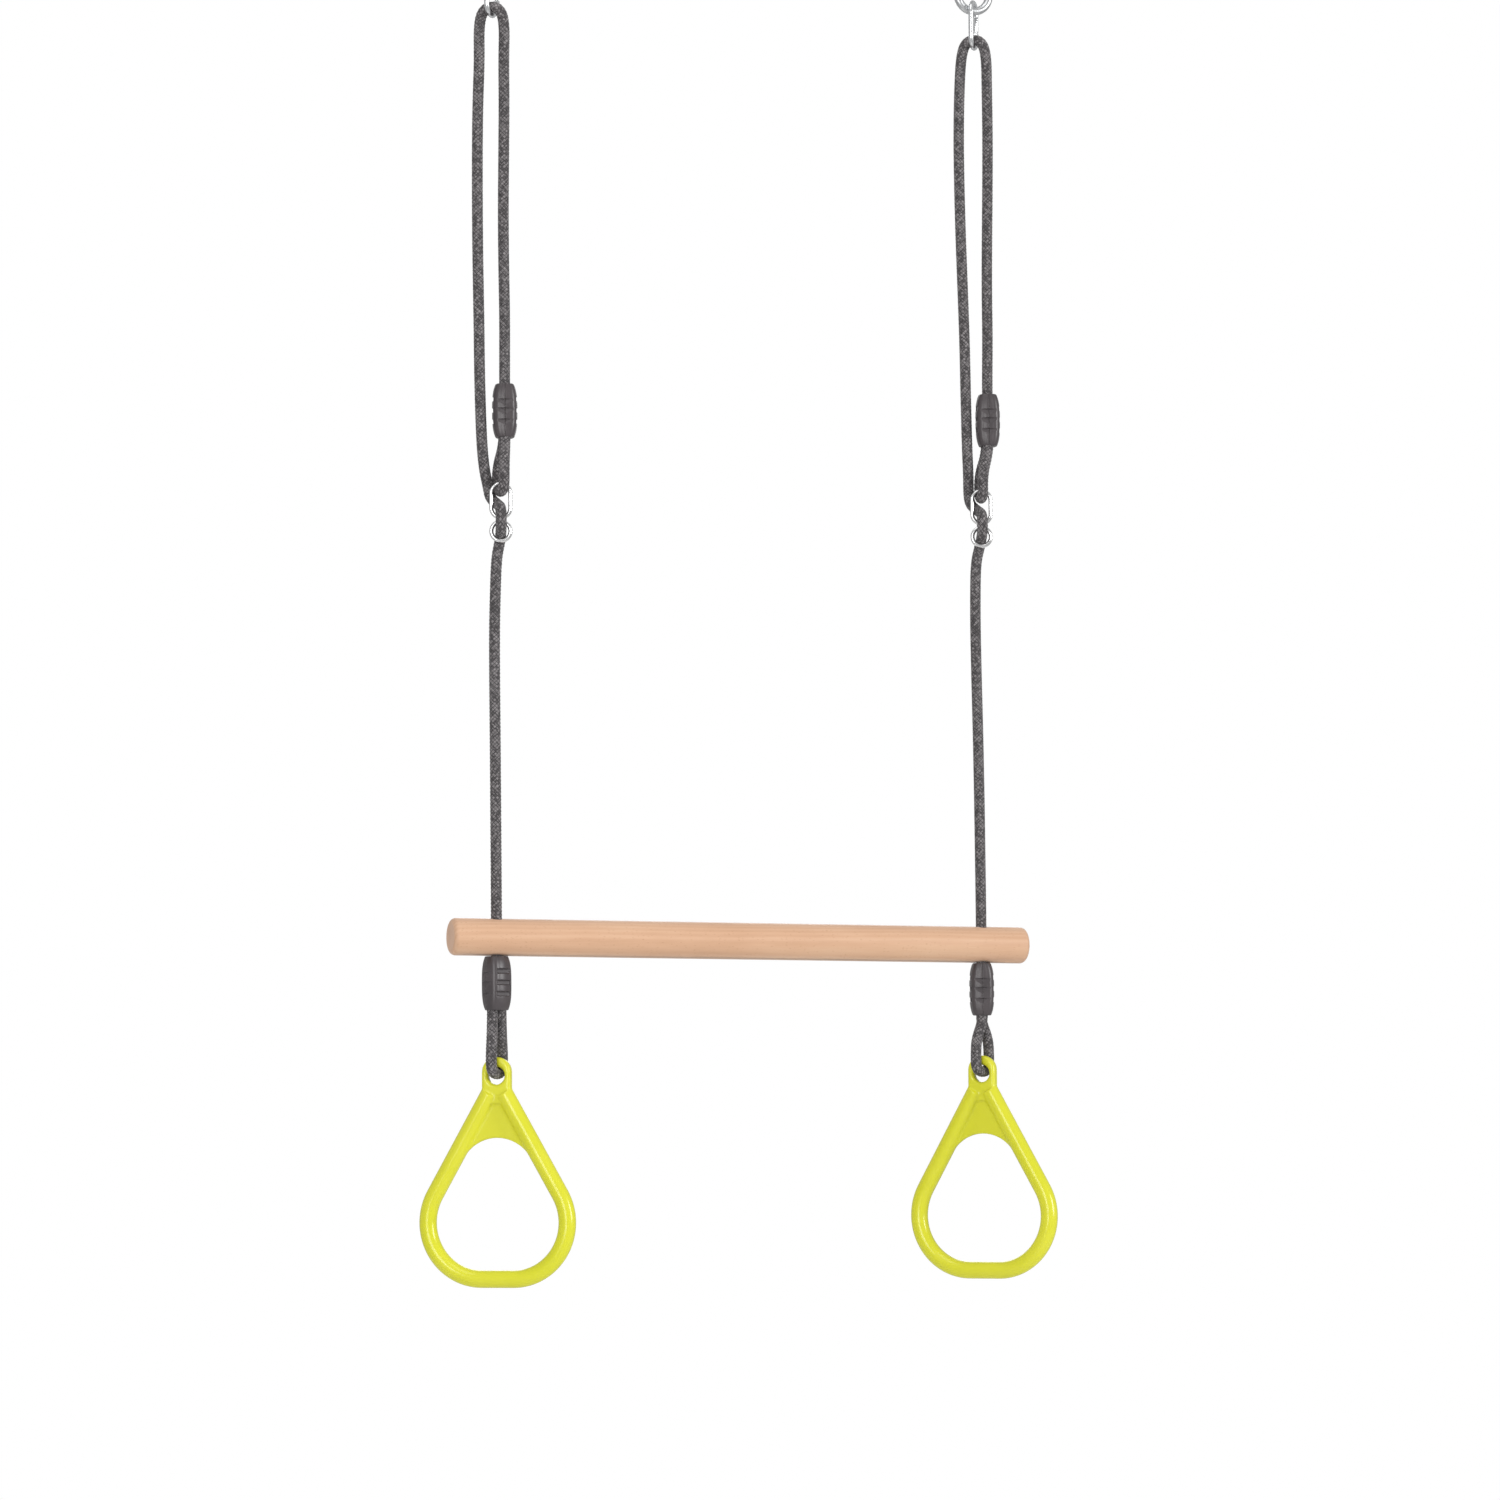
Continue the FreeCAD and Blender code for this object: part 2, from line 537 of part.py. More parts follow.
# ---- bar and hand rings ----
def bar():
    cylinder = Part.makeCylinder(BAR_D / 2, BAR_LENGTH, V(-BAR_LENGTH / 2, 0, 0), V(1, 0, 0))
    ends = [e for e in cylinder.Edges if isinstance(e.Curve, Part.Circle)]
    rod = cylinder.makeFillet(BAR_EDGE_R, ends)
    for x in (-ROPE_SPACING / 2, ROPE_SPACING / 2):
        rod = rod.cut(Part.makeCylinder(BAR_HOLE_D / 2, BAR_D * 2, V(x, 0, -BAR_D)))
    return rod


def ring_tube_path():
    """Centre line of the ring's tube, from one arm's top round the bottom to the other."""
    lean = math.radians(RING_ARM_ANGLE)
    r = RING_CORNER_R - RING_TUBE_R
    centre_x = RING_WIDTH / 2 - RING_CORNER_R
    centre_z = RING_CORNER_R
    normal = V(math.cos(lean), 0, math.sin(lean))

    def arm_point(sign, z):
        join = V(centre_x, 0, centre_z) + normal * r
        x = join.x - (z - join.z) * math.tan(lean)
        return V(sign * x, 0, z)

    def corner(sign, angle):
        a = math.radians(angle)
        return V(sign * (centre_x + r * math.cos(a)), 0, centre_z + r * math.sin(a))

    edges = []
    top_right, join_right = arm_point(1, ARM_TOP), corner(1, RING_ARM_ANGLE)
    edges.append(Part.LineSegment(top_right, join_right).toShape())
    middle_angle = (RING_ARM_ANGLE - 90) / 2
    edges.append(Part.Arc(join_right, corner(1, middle_angle), corner(1, -90)).toShape())
    edges.append(Part.LineSegment(corner(1, -90), corner(-1, -90)).toShape())
    join_left = corner(-1, RING_ARM_ANGLE)
    edges.append(Part.Arc(corner(-1, -90), corner(-1, middle_angle), join_left).toShape())
    edges.append(Part.LineSegment(join_left, arm_point(-1, ARM_TOP)).toShape())
    return Part.Wire(edges), arm_point


def mirrored_outline(half):
    """A closed wire from the points of its right half, bottom to top, and their mirror images."""
    left = [V(-p.x, p.y, p.z) for p in half[::-1] if p.x > 1e-6]
    points = half + left
    return Part.Face(Part.makePolygon(points + points[:1]))


def hand_ring():
    path, arm_point = ring_tube_path()
    tube = swept_wire(path, RING_TUBE_R)

    # the lug: a thick plate with a round top
    top_r = LUG_WIDTH / 2
    top_z = RING_HEIGHT - top_r
    flare_z = NECK_Z - FLARE_DROP
    outline = [
        V(arm_point(1, WEB_TOP).x + FOOT_OUT, 0, WEB_TOP),
        V(arm_point(1, flare_z).x + FLARE_OUT, 0, flare_z),
        V(top_r, 0, NECK_Z), V(top_r, 0, top_z),
    ]
    plate_edges = [Part.LineSegment(outline[i], outline[i + 1]).toShape() for i in range(3)]
    top = Part.Arc(V(top_r, 0, top_z), V(0, 0, RING_HEIGHT), V(-top_r, 0, top_z))
    plate_edges.append(top.toShape())
    mirror = [V(-p.x, 0, p.z) for p in outline[::-1]]
    plate_edges += [Part.LineSegment(mirror[i], mirror[i + 1]).toShape() for i in range(3)]
    plate_edges.append(Part.LineSegment(mirror[-1], outline[0]).toShape())
    face = Part.Face(Part.Wire(plate_edges))
    face.translate(V(0, -LUG_T / 2, 0))
    plate = face.extrude(V(0, LUG_T, 0))
    hole_z = RING_HEIGHT - LUG_BRIDGE - LUG_HOLE_D / 2
    plate = plate.cut(Part.makeCylinder(LUG_HOLE_D / 2, 40, V(0, -20, hole_z), V(0, 1, 0)))
    flat_edges = [e for e in plate.Edges if e.BoundBox.YLength < 0.01]
    hole_rims = [e for e in flat_edges if isinstance(e.Curve, Part.Circle)
                 and abs(e.Curve.Radius - LUG_HOLE_D / 2) < 0.01]
    plate = plate.makeFillet(LUG_EDGE_R, hole_rims)
    outer_rims = [e for e in plate.Edges if e.BoundBox.YLength < 0.01
                  and abs(e.BoundBox.YMin) > LUG_T / 2 - 0.01 and e.BoundBox.ZMin > WEB_TOP + 0.5
                  and e.BoundBox.ZMax > NECK_Z - 1
                  and not (isinstance(e.Curve, Part.Circle) and e.Curve.Radius < top_r - 0.01)]
    plate = plate.makeFillet(LUG_EDGE_R, outer_rims)

    # the web: a thin plate between the arms, cut off below by an arch
    low = WEB_ARCH_TOP - WEB_DEPTH
    web_outline = [V(arm_point(1, low).x, 0, low), V(arm_point(1, WEB_TOP + 2).x, 0, WEB_TOP + 2)]
    web_face = mirrored_outline(web_outline)
    web_face.translate(V(0, -WEB_T / 2, 0))
    web = web_face.extrude(V(0, WEB_T, 0))
    arch_z = WEB_ARCH_TOP - WEB_ARCH_R
    web = web.cut(Part.makeCylinder(WEB_ARCH_R, 40, V(0, -20, arch_z), V(0, 1, 0)))
    ring = tube.fuse([plate, web]).removeSplitter()
    return ring


# ---- assembly ----
def build():
    os.makedirs("parts", exist_ok=True)
    bolt, body, pin, gate = eye_bolt(), link_body(), link_pin(), link_gate()
    figure, halves, ring = adjuster(), {"front": clamp_half(-1), "back": clamp_half(1)}, hand_ring()
    for side, data in SIDES.items():
        x_eye, x_rope = data["x_eye"], data["x_rope"]
        save(placed(bolt, x_eye, 0, 0, data["eye_angle"]), side + "_eye_bolt")
        for part, name in ((body, "_link_body"), (pin, "_link_gate_pin"), (gate, "_link_gate")):
            save(placed(part, x_eye, 0, LINK_TOP_Z, data["link_angle"]), side + name)
        hang = side_point(side, data["adjuster"], 0, data["weld"])
        save(placed(figure, hang.x, hang.y, hang.z, LOOP_ANGLE), side + "_adjuster")
        grip = side_point(side, data["clamp"], 0, data["upper_clamp"])
        for half_name, half in halves.items():
            # the channels lie one behind the other, so the clamp is turned a further quarter turn
            upper = placed(half, grip.x, grip.y, grip.z, LOOP_ANGLE - 90)
            save(upper, side + "_upper_clamp_" + half_name)
            turn = data["lower_clamp_angle"] - 90
            lower = placed(half, x_rope, 0, height(data["lower_clamp"]), turn)
            save(lower, side + "_lower_clamp_" + half_name)
        save_rope(side + "_rope_adjuster_eye", *adjuster_eye_points(side))
        save_rope(side + "_rope_loop", loop_points(side))
        weave = weave_points(side)
        save_rope(side + "_rope_weave", weave, [None, None] + [WEAVE_BEND_R] * (len(weave) - 3) + [None])
        save_rope(side + "_rope_main", main_points(side))
        save_rope(side + "_rope_bar_run", *bar_rope_points(side))
        save_rope(side + "_rope_tail", tail_points(side))
        save_rope(side + "_rope_ring_eye", *ring_eye_points(side))
        save(placed(ring, x_rope, 0, height(0), data["ring_angle"]), side + "_hand_ring")
    rod = bar()
    rod.rotate(V(0, 0, 0), V(0, 1, 0), BAR_TILT)
    save(placed(rod, 0, 0, height(BAR_AXIS), 0), "bar")


build()
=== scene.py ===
import math

import bmesh
import bpy
import numpy as np
from mathutils import Matrix, Vector


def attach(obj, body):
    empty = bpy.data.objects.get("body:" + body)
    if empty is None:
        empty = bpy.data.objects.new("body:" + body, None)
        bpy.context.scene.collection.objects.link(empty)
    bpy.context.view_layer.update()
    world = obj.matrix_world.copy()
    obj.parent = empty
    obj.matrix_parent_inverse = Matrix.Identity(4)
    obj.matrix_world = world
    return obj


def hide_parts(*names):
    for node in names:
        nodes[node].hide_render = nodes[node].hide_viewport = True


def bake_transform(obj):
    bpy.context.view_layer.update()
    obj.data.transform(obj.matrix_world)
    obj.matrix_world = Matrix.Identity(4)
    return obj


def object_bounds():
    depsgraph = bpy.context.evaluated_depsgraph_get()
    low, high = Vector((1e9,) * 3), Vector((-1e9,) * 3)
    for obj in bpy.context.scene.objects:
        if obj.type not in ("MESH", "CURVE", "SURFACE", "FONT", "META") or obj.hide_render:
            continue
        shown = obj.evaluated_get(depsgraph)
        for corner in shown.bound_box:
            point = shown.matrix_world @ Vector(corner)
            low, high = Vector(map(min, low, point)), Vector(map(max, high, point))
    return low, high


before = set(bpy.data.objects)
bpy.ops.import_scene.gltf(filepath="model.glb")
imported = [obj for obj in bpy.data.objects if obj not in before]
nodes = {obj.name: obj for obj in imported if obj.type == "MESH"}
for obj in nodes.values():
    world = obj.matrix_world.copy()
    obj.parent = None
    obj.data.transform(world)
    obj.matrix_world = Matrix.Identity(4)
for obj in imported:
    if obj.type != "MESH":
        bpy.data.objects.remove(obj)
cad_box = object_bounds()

# A swing trapeze: a beech bar and two plastic hand rings on two adjustable braided ropes.
# Metres, in the frame that the CAD model shares: X along the bar, Y to the back, Z up, origin
# midway between the two eye bolts on the face of the beam that holds them.

SIDES = ("left", "right")
scene = bpy.context.scene

# ---------------------------------------------------------------- camera
CAMERA_PLACE = (-1.6456, -4.6024, -1.1132)
CAMERA_YAW = math.radians(19.768)       # turned to the right of +Y
CAMERA_PITCH = math.radians(3.995)      # looking up
CAMERA_ROLL = math.radians(-0.4024)
CAMERA_LENS = 123.19                    # millimetres
CAMERA_SENSOR = 36.0                    # millimetres
CAMERA_REACH = 60.0


def add_camera():
    forward = Vector((math.sin(CAMERA_YAW) * math.cos(CAMERA_PITCH),
                      math.cos(CAMERA_YAW) * math.cos(CAMERA_PITCH), math.sin(CAMERA_PITCH)))
    level_right = Vector((math.cos(CAMERA_YAW), -math.sin(CAMERA_YAW), 0.0))
    level_up = level_right.cross(forward)
    right = level_right * math.cos(CAMERA_ROLL) + level_up * math.sin(CAMERA_ROLL)
    up = level_up * math.cos(CAMERA_ROLL) - level_right * math.sin(CAMERA_ROLL)
    data = bpy.data.cameras.new("camera")
    data.lens = CAMERA_LENS
    data.sensor_width = CAMERA_SENSOR
    data.clip_end = CAMERA_REACH
    camera = bpy.data.objects.new("camera", data)
    scene.collection.objects.link(camera)
    axes = Matrix((right, up, -forward)).transposed().to_4x4()
    camera.matrix_world = Matrix.Translation(CAMERA_PLACE) @ axes
    scene.camera = camera


add_camera()

# ---------------------------------------------------------------- rope routes
HANG_HEIGHT = 1.2785        # from the beam down to the lowest point of the hand rings
LOOP_ANGLE = 15.0           # the loops, upper clamps and adjusters are turned this far about Z

# A loop's top, over the spring link: (right of the link, below CROWN_Z).
CROWN = [(0.0126, 0.013), (0.0065, 0.0), (-0.0065, 0.0), (-0.0126, 0.013)]
CROWN_Z = -0.0702
LOOP_UPRIGHT = 0.016        # a loop leaves its clamp upright for this far

CLAMP_LENGTH = 0.0505
CHANNEL = 0.005             # a clamp's rope channel, out from its middle
CHANNEL_BEND = 0.026        # where it bends, above the clamp's lower end
CLAMP_UPRIGHT = 0.006       # the rope runs straight for this far inside the clamp's top
CLAMP_MOUTH = 0.004         # and the adjuster's eye for this far below the clamp
TAIL_LENGTH = 0.020

ADJUSTER_WIRE_TOP = 0.034   # middle of the oval's top wire, above the weld
ADJUSTER_REACH = 0.0073     # rope's middle round a wire of the adjuster
ADJUSTER_EYE_RISE = 0.016   # the eye's strands stand upright up to here, above that wire
WEAVE_START = 0.5           # share of the way from the loop's last point to the first corner
WEAVE_END = 0.6             # and from the last corner to the main rope's first point

BAR_TOP = 0.3418            # height above the rings' lowest point
BAR_ENTRY = 0.001           # the rope goes into the bar this far above its top
BAR_UPRIGHT = 0.024         # and is in line with the hole from this far above it

# The rope's eye in a hand ring. Its heights are above the rings' lowest point.
RING_EYE_HALF = 0.0111      # half the depth of the rope eye in a hand ring's hole
RING_EYE_SPREAD = 0.0088    # and half its depth above the ring
RING_EYE_LEAN = 0.0020      # its strands are this far to each side
RING_EYE_LOW = 0.1993       # height where it turns round the hole's bridge
RING_EYE_GUARD = 0.219      # height where its strands stand upright over the ring
RING_EYE_SPLAY = 0.231      # height above which they lean together
RING_EYE_NECK = 0.006       # this far below the clamp they start to lean apart

# Each side's own set of sizes. x_eye and x_rope are the middles of the eye bolt and of the bar's
# rope hole. Clamps are placed by their lower ends. adjuster and clamp are how far right of the
# eye bolt these sit, in the loop's turned axes. Angles are clockwise about Z, in degrees, but
# adjuster_eye is the lean of the rope's eye against the adjuster's depth.
PLACES = {
    "left": dict(x_eye=-0.2465, x_rope=-0.245, weld=0.720, adjuster=0.007, adjuster_eye=-22.0,
                 upper_clamp=0.7975, clamp=0.011, crown_angle=32.0, lower_clamp=0.2585,
                 lower_clamp_angle=70.0, ring_angle=34.5),
    "right": dict(x_eye=0.2465, x_rope=0.245, weld=0.730, adjuster=0.003, adjuster_eye=-6.0,
                  upper_clamp=0.8075, clamp=0.010, crown_angle=35.0, lower_clamp=0.2535,
                  lower_clamp_angle=17.0, ring_angle=45.5),
}

# A loop's two strands: (height above the rings' lowest point, right of the eye bolt).
RIGHT_STRAND = {
    "left": [(0.910, 0.0113), (0.955, 0.0106), (1.010, 0.0102), (1.066, 0.0109),
             (1.119, 0.0115), (1.157, 0.0112)],
    "right": [(0.915, 0.0108), (0.960, 0.0105), (1.010, 0.0112), (1.066, 0.0123),
              (1.119, 0.0129), (1.157, 0.0126)],
}
LEFT_STRAND = {
    "left": [(1.157, -0.0118), (1.119, -0.0133), (1.080, -0.0140), (1.023, -0.0142),
             (0.966, -0.0139), (0.910, -0.0130), (0.853, -0.0126), (0.795, -0.0110),
             (0.768, -0.0086)],
    "right": [(1.157, -0.0146), (1.119, -0.0156), (1.080, -0.0157), (1.023, -0.0149),
              (0.966, -0.0133), (0.910, -0.0118), (0.853, -0.0112), (0.805, -0.0104),
              (0.778, -0.0094)],
}

# Through the adjuster: (right of its middle, behind it, above its weld).
WEAVE = [(-0.0116, 0.0074, 0.0310), (-0.0096, 0.0090, 0.0210), (-0.0020, 0.0072, 0.0146),
         (0.0, -0.0070, 0.0102), (0.0, -0.0088, -0.0058), (0.0, 0.0084, -0.0164)]

# Main rope: (right of the bar's rope hole, behind it, height), from the adjuster down.
MAIN = {
    "left": [(0.0030, 0.0056, 0.684), (0.0006, 0.0020, 0.650), (-0.0010, 0.0004, 0.606),
             (-0.0004, 0.0002, 0.500)],
    "right": [(0.0006, 0.0056, 0.694), (-0.0018, 0.0020, 0.660), (-0.0026, 0.0004, 0.614),
              (-0.0006, 0.0002, 0.500)],
}


def height(above_rings):
    """Z of a height that is given above the hand rings' lowest point."""
    return above_rings - HANG_HEIGHT


def turned(angle, right, back, z):
    """A point given to the right and to the back in axes turned clockwise by angle about Z."""
    a = math.radians(angle)
    return Vector((right * math.cos(a) + back * math.sin(a),
                   back * math.cos(a) - right * math.sin(a), z))


def side_point(side, right, back, above_rings):
    """A point of a rope loop, in the loop's turned axes, seen from its eye bolt."""
    eye = Vector((PLACES[side]["x_eye"], 0.0, height(above_rings)))
    return eye + turned(LOOP_ANGLE, right, back, 0.0)


def rope_point(side, angle, back, above_rings):
    """A point straight below a rope hole of the bar, set back in axes turned by angle."""
    hole = Vector((PLACES[side]["x_rope"], 0.0, height(above_rings)))
    return hole + turned(angle, 0.0, back, 0.0)


# Through a clamp, from its top: (out from the middle, above the lower end).
CLAMP_RUN = [(0.0, CLAMP_LENGTH), (0.0, CLAMP_LENGTH - CLAMP_UPRIGHT), (-CHANNEL, CHANNEL_BEND)]


def adjuster_eye_route(side):
    """The rope's tail end: out of the upper clamp, round the adjuster's top wire and back up."""
    place = PLACES[side]
    wire_top = place["weld"] + ADJUSTER_WIRE_TOP
    mouth = place["upper_clamp"]
    clamp, adjuster = place["clamp"], place["adjuster"]
    behind = ADJUSTER_REACH
    aside = ADJUSTER_REACH * math.tan(math.radians(place["adjuster_eye"]))
    steps = [
        (clamp, CHANNEL, mouth + TAIL_LENGTH),
        (clamp, CHANNEL, mouth - CLAMP_MOUTH),
        (adjuster + aside, behind, wire_top + ADJUSTER_EYE_RISE),
        (adjuster + aside, behind, wire_top - ADJUSTER_REACH),
        (adjuster - aside, -behind, wire_top - ADJUSTER_REACH),
        (adjuster - aside, -behind, wire_top + ADJUSTER_EYE_RISE),
        (clamp, -CHANNEL, mouth - CLAMP_MOUTH),
    ]
    steps += [(clamp, out, mouth + up) for out, up in CLAMP_RUN[::-1]]
    return [side_point(side, *step) for step in steps]


def weave_route(side):
    """Behind the adjuster's side, through its oval, over its waist and back through its ring."""
    place = PLACES[side]
    last_z, last_right = LEFT_STRAND[side][-1]
    before = side_point(side, last_right, 0.0, last_z)
    corners = [side_point(side, place["adjuster"] + right, back, place["weld"] + up)
               for right, back, up in WEAVE]
    start = before.lerp(corners[0], WEAVE_START)
    end = corners[-1].lerp(main_corners(side)[0], WEAVE_END)
    return [start] + corners + [end]


def loop_route(side):
    """Out of the clamp's top, over the spring link and down towards the adjuster."""
    place = PLACES[side]
    top = place["upper_clamp"] + CLAMP_LENGTH
    points = [side_point(side, place["clamp"], 0.0, top),
              side_point(side, place["clamp"], 0.0, top + LOOP_UPRIGHT)]
    points += [side_point(side, right, 0.0, z) for z, right in RIGHT_STRAND[side]]
    eye = Vector((place["x_eye"], 0.0, 0.0))
    for right, drop in CROWN:
        points.append(eye + turned(place["crown_angle"], right, 0.0, CROWN_Z - drop))
    points += [side_point(side, right, 0.0, z) for z, right in LEFT_STRAND[side]]
    points.append(weave_route(side)[0])
    return points


def main_corners(side):
    """The main rope's points from below the adjuster to just over the bar."""
    x = PLACES[side]["x_rope"]
    points = [Vector((x + right, back, height(z))) for right, back, z in MAIN[side]]
    points.append(Vector((x, 0.0, height(BAR_TOP + BAR_UPRIGHT))))
    return points


def main_route(side):
    """From below the adjuster, through the bar's hole and down through the lower clamp."""
    place = PLACES[side]
    points = [weave_route(side)[-1]] + main_corners(side)
    points.append(rope_point(side, 0.0, 0.0, BAR_TOP + BAR_ENTRY))
    for out, up in CLAMP_RUN[1:] + [(-CHANNEL, 0.0)]:
        points.append(rope_point(side, place["lower_clamp_angle"], out, place["lower_clamp"] + up))
    return points


def ring_eye_route(side):
    """Out of the lower clamp, through the hand ring's hole and back up beside itself."""
    place = PLACES[side]

    def beside(sign, back, above_rings):
        hole = Vector((place["x_rope"], 0.0, height(above_rings)))
        return hole + turned(place["ring_angle"], sign * RING_EYE_LEAN, sign * back, 0.0)

    def strand(sign):
        mouth, turn = place["lower_clamp"], place["lower_clamp_angle"]
        return [rope_point(side, turn, sign * CHANNEL, mouth),
                rope_point(side, turn, sign * CHANNEL, mouth - RING_EYE_NECK),
                beside(sign, RING_EYE_SPREAD, RING_EYE_SPLAY),
                beside(sign, RING_EYE_HALF, RING_EYE_GUARD),
                beside(sign, RING_EYE_HALF, RING_EYE_LOW)]

    tail = rope_point(side, place["lower_clamp_angle"], CHANNEL,
                      place["lower_clamp"] + TAIL_LENGTH)
    return strand(-1) + strand(1)[::-1] + [tail]


SPLINE_STEPS = 32           # between one control point and the next


def nurbs_line(points):
    """Points along the quadratic NURBS spline that has these control points."""
    data = bpy.data.curves.new("route", "CURVE")
    data.dimensions = "3D"
    data.resolution_u = SPLINE_STEPS
    spline = data.splines.new("NURBS")
    spline.points.add(len(points) - 1)
    for point, place in zip(spline.points, points):
        point.co = (*place, 1.0)
    spline.order_u = 3
    spline.use_endpoint_u = True
    curve = bpy.data.objects.new("route", data)
    scene.collection.objects.link(curve)
    mesh = bpy.data.meshes.new_from_object(curve)
    line = np.array([vertex.co for vertex in mesh.vertices], float)
    bpy.data.objects.remove(curve)
    bpy.data.curves.remove(data)
    bpy.data.meshes.remove(mesh)
    return line


# ---------------------------------------------------------------- braided rope
STRANDS = 8                 # in each direction
STRAND_STEP = 0.0036        # along the rope, from one strand to the next
AROUND = 48                 # mesh points round the rope
ALONG = 0.0007              # mesh step along the rope
SAME_POINT = 1e-9           # two points of a line that are closer than this are one
ROPE_OUTSIDE = 0.00530      # radius over the strands' backs
STRAND_RISE = 0.00030       # a strand's rise and dip as it goes over and under
STRAND_CROWN = 0.00055      # height of a strand's round back


def evenly_spaced(line, step):
    """The line's points again, spaced evenly, and how far along each one is."""
    runs = np.linalg.norm(np.diff(line, axis=0), axis=1)
    keep = np.concatenate(([True], runs > SAME_POINT))
    line = line[keep]
    runs = runs[runs > SAME_POINT]
    travelled = np.concatenate(([0.0], np.cumsum(runs)))
    count = max(2, round(travelled[-1] / step))
    along = np.linspace(0.0, travelled[-1], count + 1)
    points = np.stack([np.interp(along, travelled, line[:, k]) for k in range(3)], axis=1)
    return points, along


def carried_normals(tangents, first):
    """A normal at each point that turns with the line and doesn't twist round it."""
    normals = np.empty_like(tangents)
    normal = first
    for i, tangent in enumerate(tangents):
        normal = normal - tangent * np.dot(normal, tangent)
        normal = normal / np.linalg.norm(normal)
        normals[i] = normal
    return normals


def braid_relief(across, back):
    """Height of the braid's surface over its valleys, from the two strand coordinates."""
    over = (np.floor(across) + np.floor(back)) % 2 < 0.5
    u = across - np.floor(across) - 0.5
    v = back - np.floor(back) - 0.5
    rise_u = np.where(over, 1.0, -1.0) * np.cos(np.pi * v) * STRAND_RISE
    rise_v = np.where(over, -1.0, 1.0) * np.cos(np.pi * u) * STRAND_RISE
    crown_u = np.sqrt(np.clip(1 - (2 * u) ** 2, 0, 1)) * STRAND_CROWN
    crown_v = np.sqrt(np.clip(1 - (2 * v) ** 2, 0, 1)) * STRAND_CROWN
    return np.maximum(rise_u + crown_u, rise_v + crown_v)


def tube_quads(rings):
    """A tube's faces as vertex numbers, and each one's ring and place round the ring."""
    ring, spoke = np.meshgrid(np.arange(rings - 1), np.arange(AROUND), indexing="ij")
    after = (spoke + 1) % AROUND
    quads = np.stack((ring * AROUND + spoke, ring * AROUND + after,
                      (ring + 1) * AROUND + after, (ring + 1) * AROUND + spoke), axis=-1)
    return quads.reshape(-1, 4).tolist(), ring, spoke


def tube_caps(rings):
    """Triangles that close both ends, round a middle vertex each."""
    start, end = rings * AROUND, rings * AROUND + 1
    last = (rings - 1) * AROUND
    faces = []
    for k in range(AROUND):
        following = (k + 1) % AROUND
        faces.append((following, k, start))
        faces.append((last + k, last + following, end))
    return faces


def braid(name, line, travelled, first_normal):
    """A braided tube along a line, the braid already this far along.

    Returns it, its length, the normal at its far end and the points of its middle.
    """
    points, along = evenly_spaced(line, ALONG)
    tangents = np.gradient(points, axis=0)
    tangents /= np.linalg.norm(tangents, axis=1)[:, None]
    normals = carried_normals(tangents, first_normal)
    sides = np.cross(tangents, normals)
    turn = np.linspace(0.0, 2 * math.pi, AROUND, endpoint=False)
    share = STRANDS * turn / (2 * math.pi)
    steps = (along + travelled) / STRAND_STEP
    across = share[None, :] + steps[:, None]
    back = share[None, :] - steps[:, None]
    top = STRAND_RISE + STRAND_CROWN
    radius = ROPE_OUTSIDE - top + braid_relief(across, back)
    out = (normals[:, None, :] * np.cos(turn)[None, :, None]
           + sides[:, None, :] * np.sin(turn)[None, :, None])
    places = points[:, None, :] + out * radius[:, :, None]

    vertices = np.concatenate((places.reshape(-1, 3), points[:1], points[-1:]))
    quads, ring, spoke = tube_quads(len(points))
    caps = tube_caps(len(points))
    mesh = bpy.data.meshes.new(name)
    mesh.from_pydata(vertices.tolist(), [], quads + caps)
    mesh.polygons.foreach_set("use_smooth", [True] * len(mesh.polygons))

    # the place round and along the rope, in strands, for the yarns of the material
    u0 = share[spoke]
    u1 = u0 + STRANDS / AROUND
    v0, v1 = steps[ring], steps[ring + 1]
    corners = np.stack((u0, v0, u1, v0, u1, v1, u0, v1), axis=-1).reshape(-1)
    at_caps = np.zeros(len(caps) * 3 * 2)
    layer = mesh.uv_layers.new(name="braid")
    layer.data.foreach_set("uv", np.concatenate((corners, at_caps)).astype(np.float32))
    rope = bpy.data.objects.new(name, mesh)
    scene.collection.objects.link(rope)
    return rope, along[-1], normals[-1], points


ROPE_ROUTES = [
    # piece, its route, the CAD nodes that it stands for
    ("adjuster_eye_rope", adjuster_eye_route, ("rope_adjuster_eye",)),
    ("loop_rope", loop_route, ("rope_loop",)),
    ("weave_rope", weave_route, ("rope_weave",)),
    ("main_rope", main_route, ("rope_main", "rope_bar_run")),
    ("ring_eye_rope", ring_eye_route, ("rope_ring_eye", "rope_tail")),
]
CORD_POINTS = 400           # a rope piece's middle is thinned to this many points, or up to twice as many


def add_ropes(side):
    """The whole rope of one side, in five pieces, with one braid running through them all."""
    ropes = {}
    travelled, normal = 0.0, np.array((1.0, 0.0, 0.0))
    for word, route, stands_for in ROPE_ROUTES:
        name = side + "_" + word
        line = nurbs_line(route(side))
        rope, length, normal, points = braid(name, line, travelled, normal)
        travelled += length
        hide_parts(*[side + "_" + node for node in stands_for])
        every = max(1, len(points) // CORD_POINTS)
        path = [tuple(p) for p in points[::every]]
        if (len(points) - 1) % every:
            path.append(tuple(points[-1]))
        ropes[word] = rope
    return ropes


rope_pieces = {side: add_ropes(side) for side in SIDES}


def tie_ropes(side):
    """The adjuster's eye and weave ropes follow the adjusters; the other pieces are baked where
    they lie.
    """
    ropes, place = rope_pieces[side], PLACES[side]
    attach(ropes["adjuster_eye_rope"], "adjusters")
    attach(ropes["weave_rope"], "adjusters")
    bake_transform(ropes["loop_rope"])
    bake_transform(ropes["main_rope"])
    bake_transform(ropes["ring_eye_rope"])


for side in SIDES:
    tie_ropes(side)


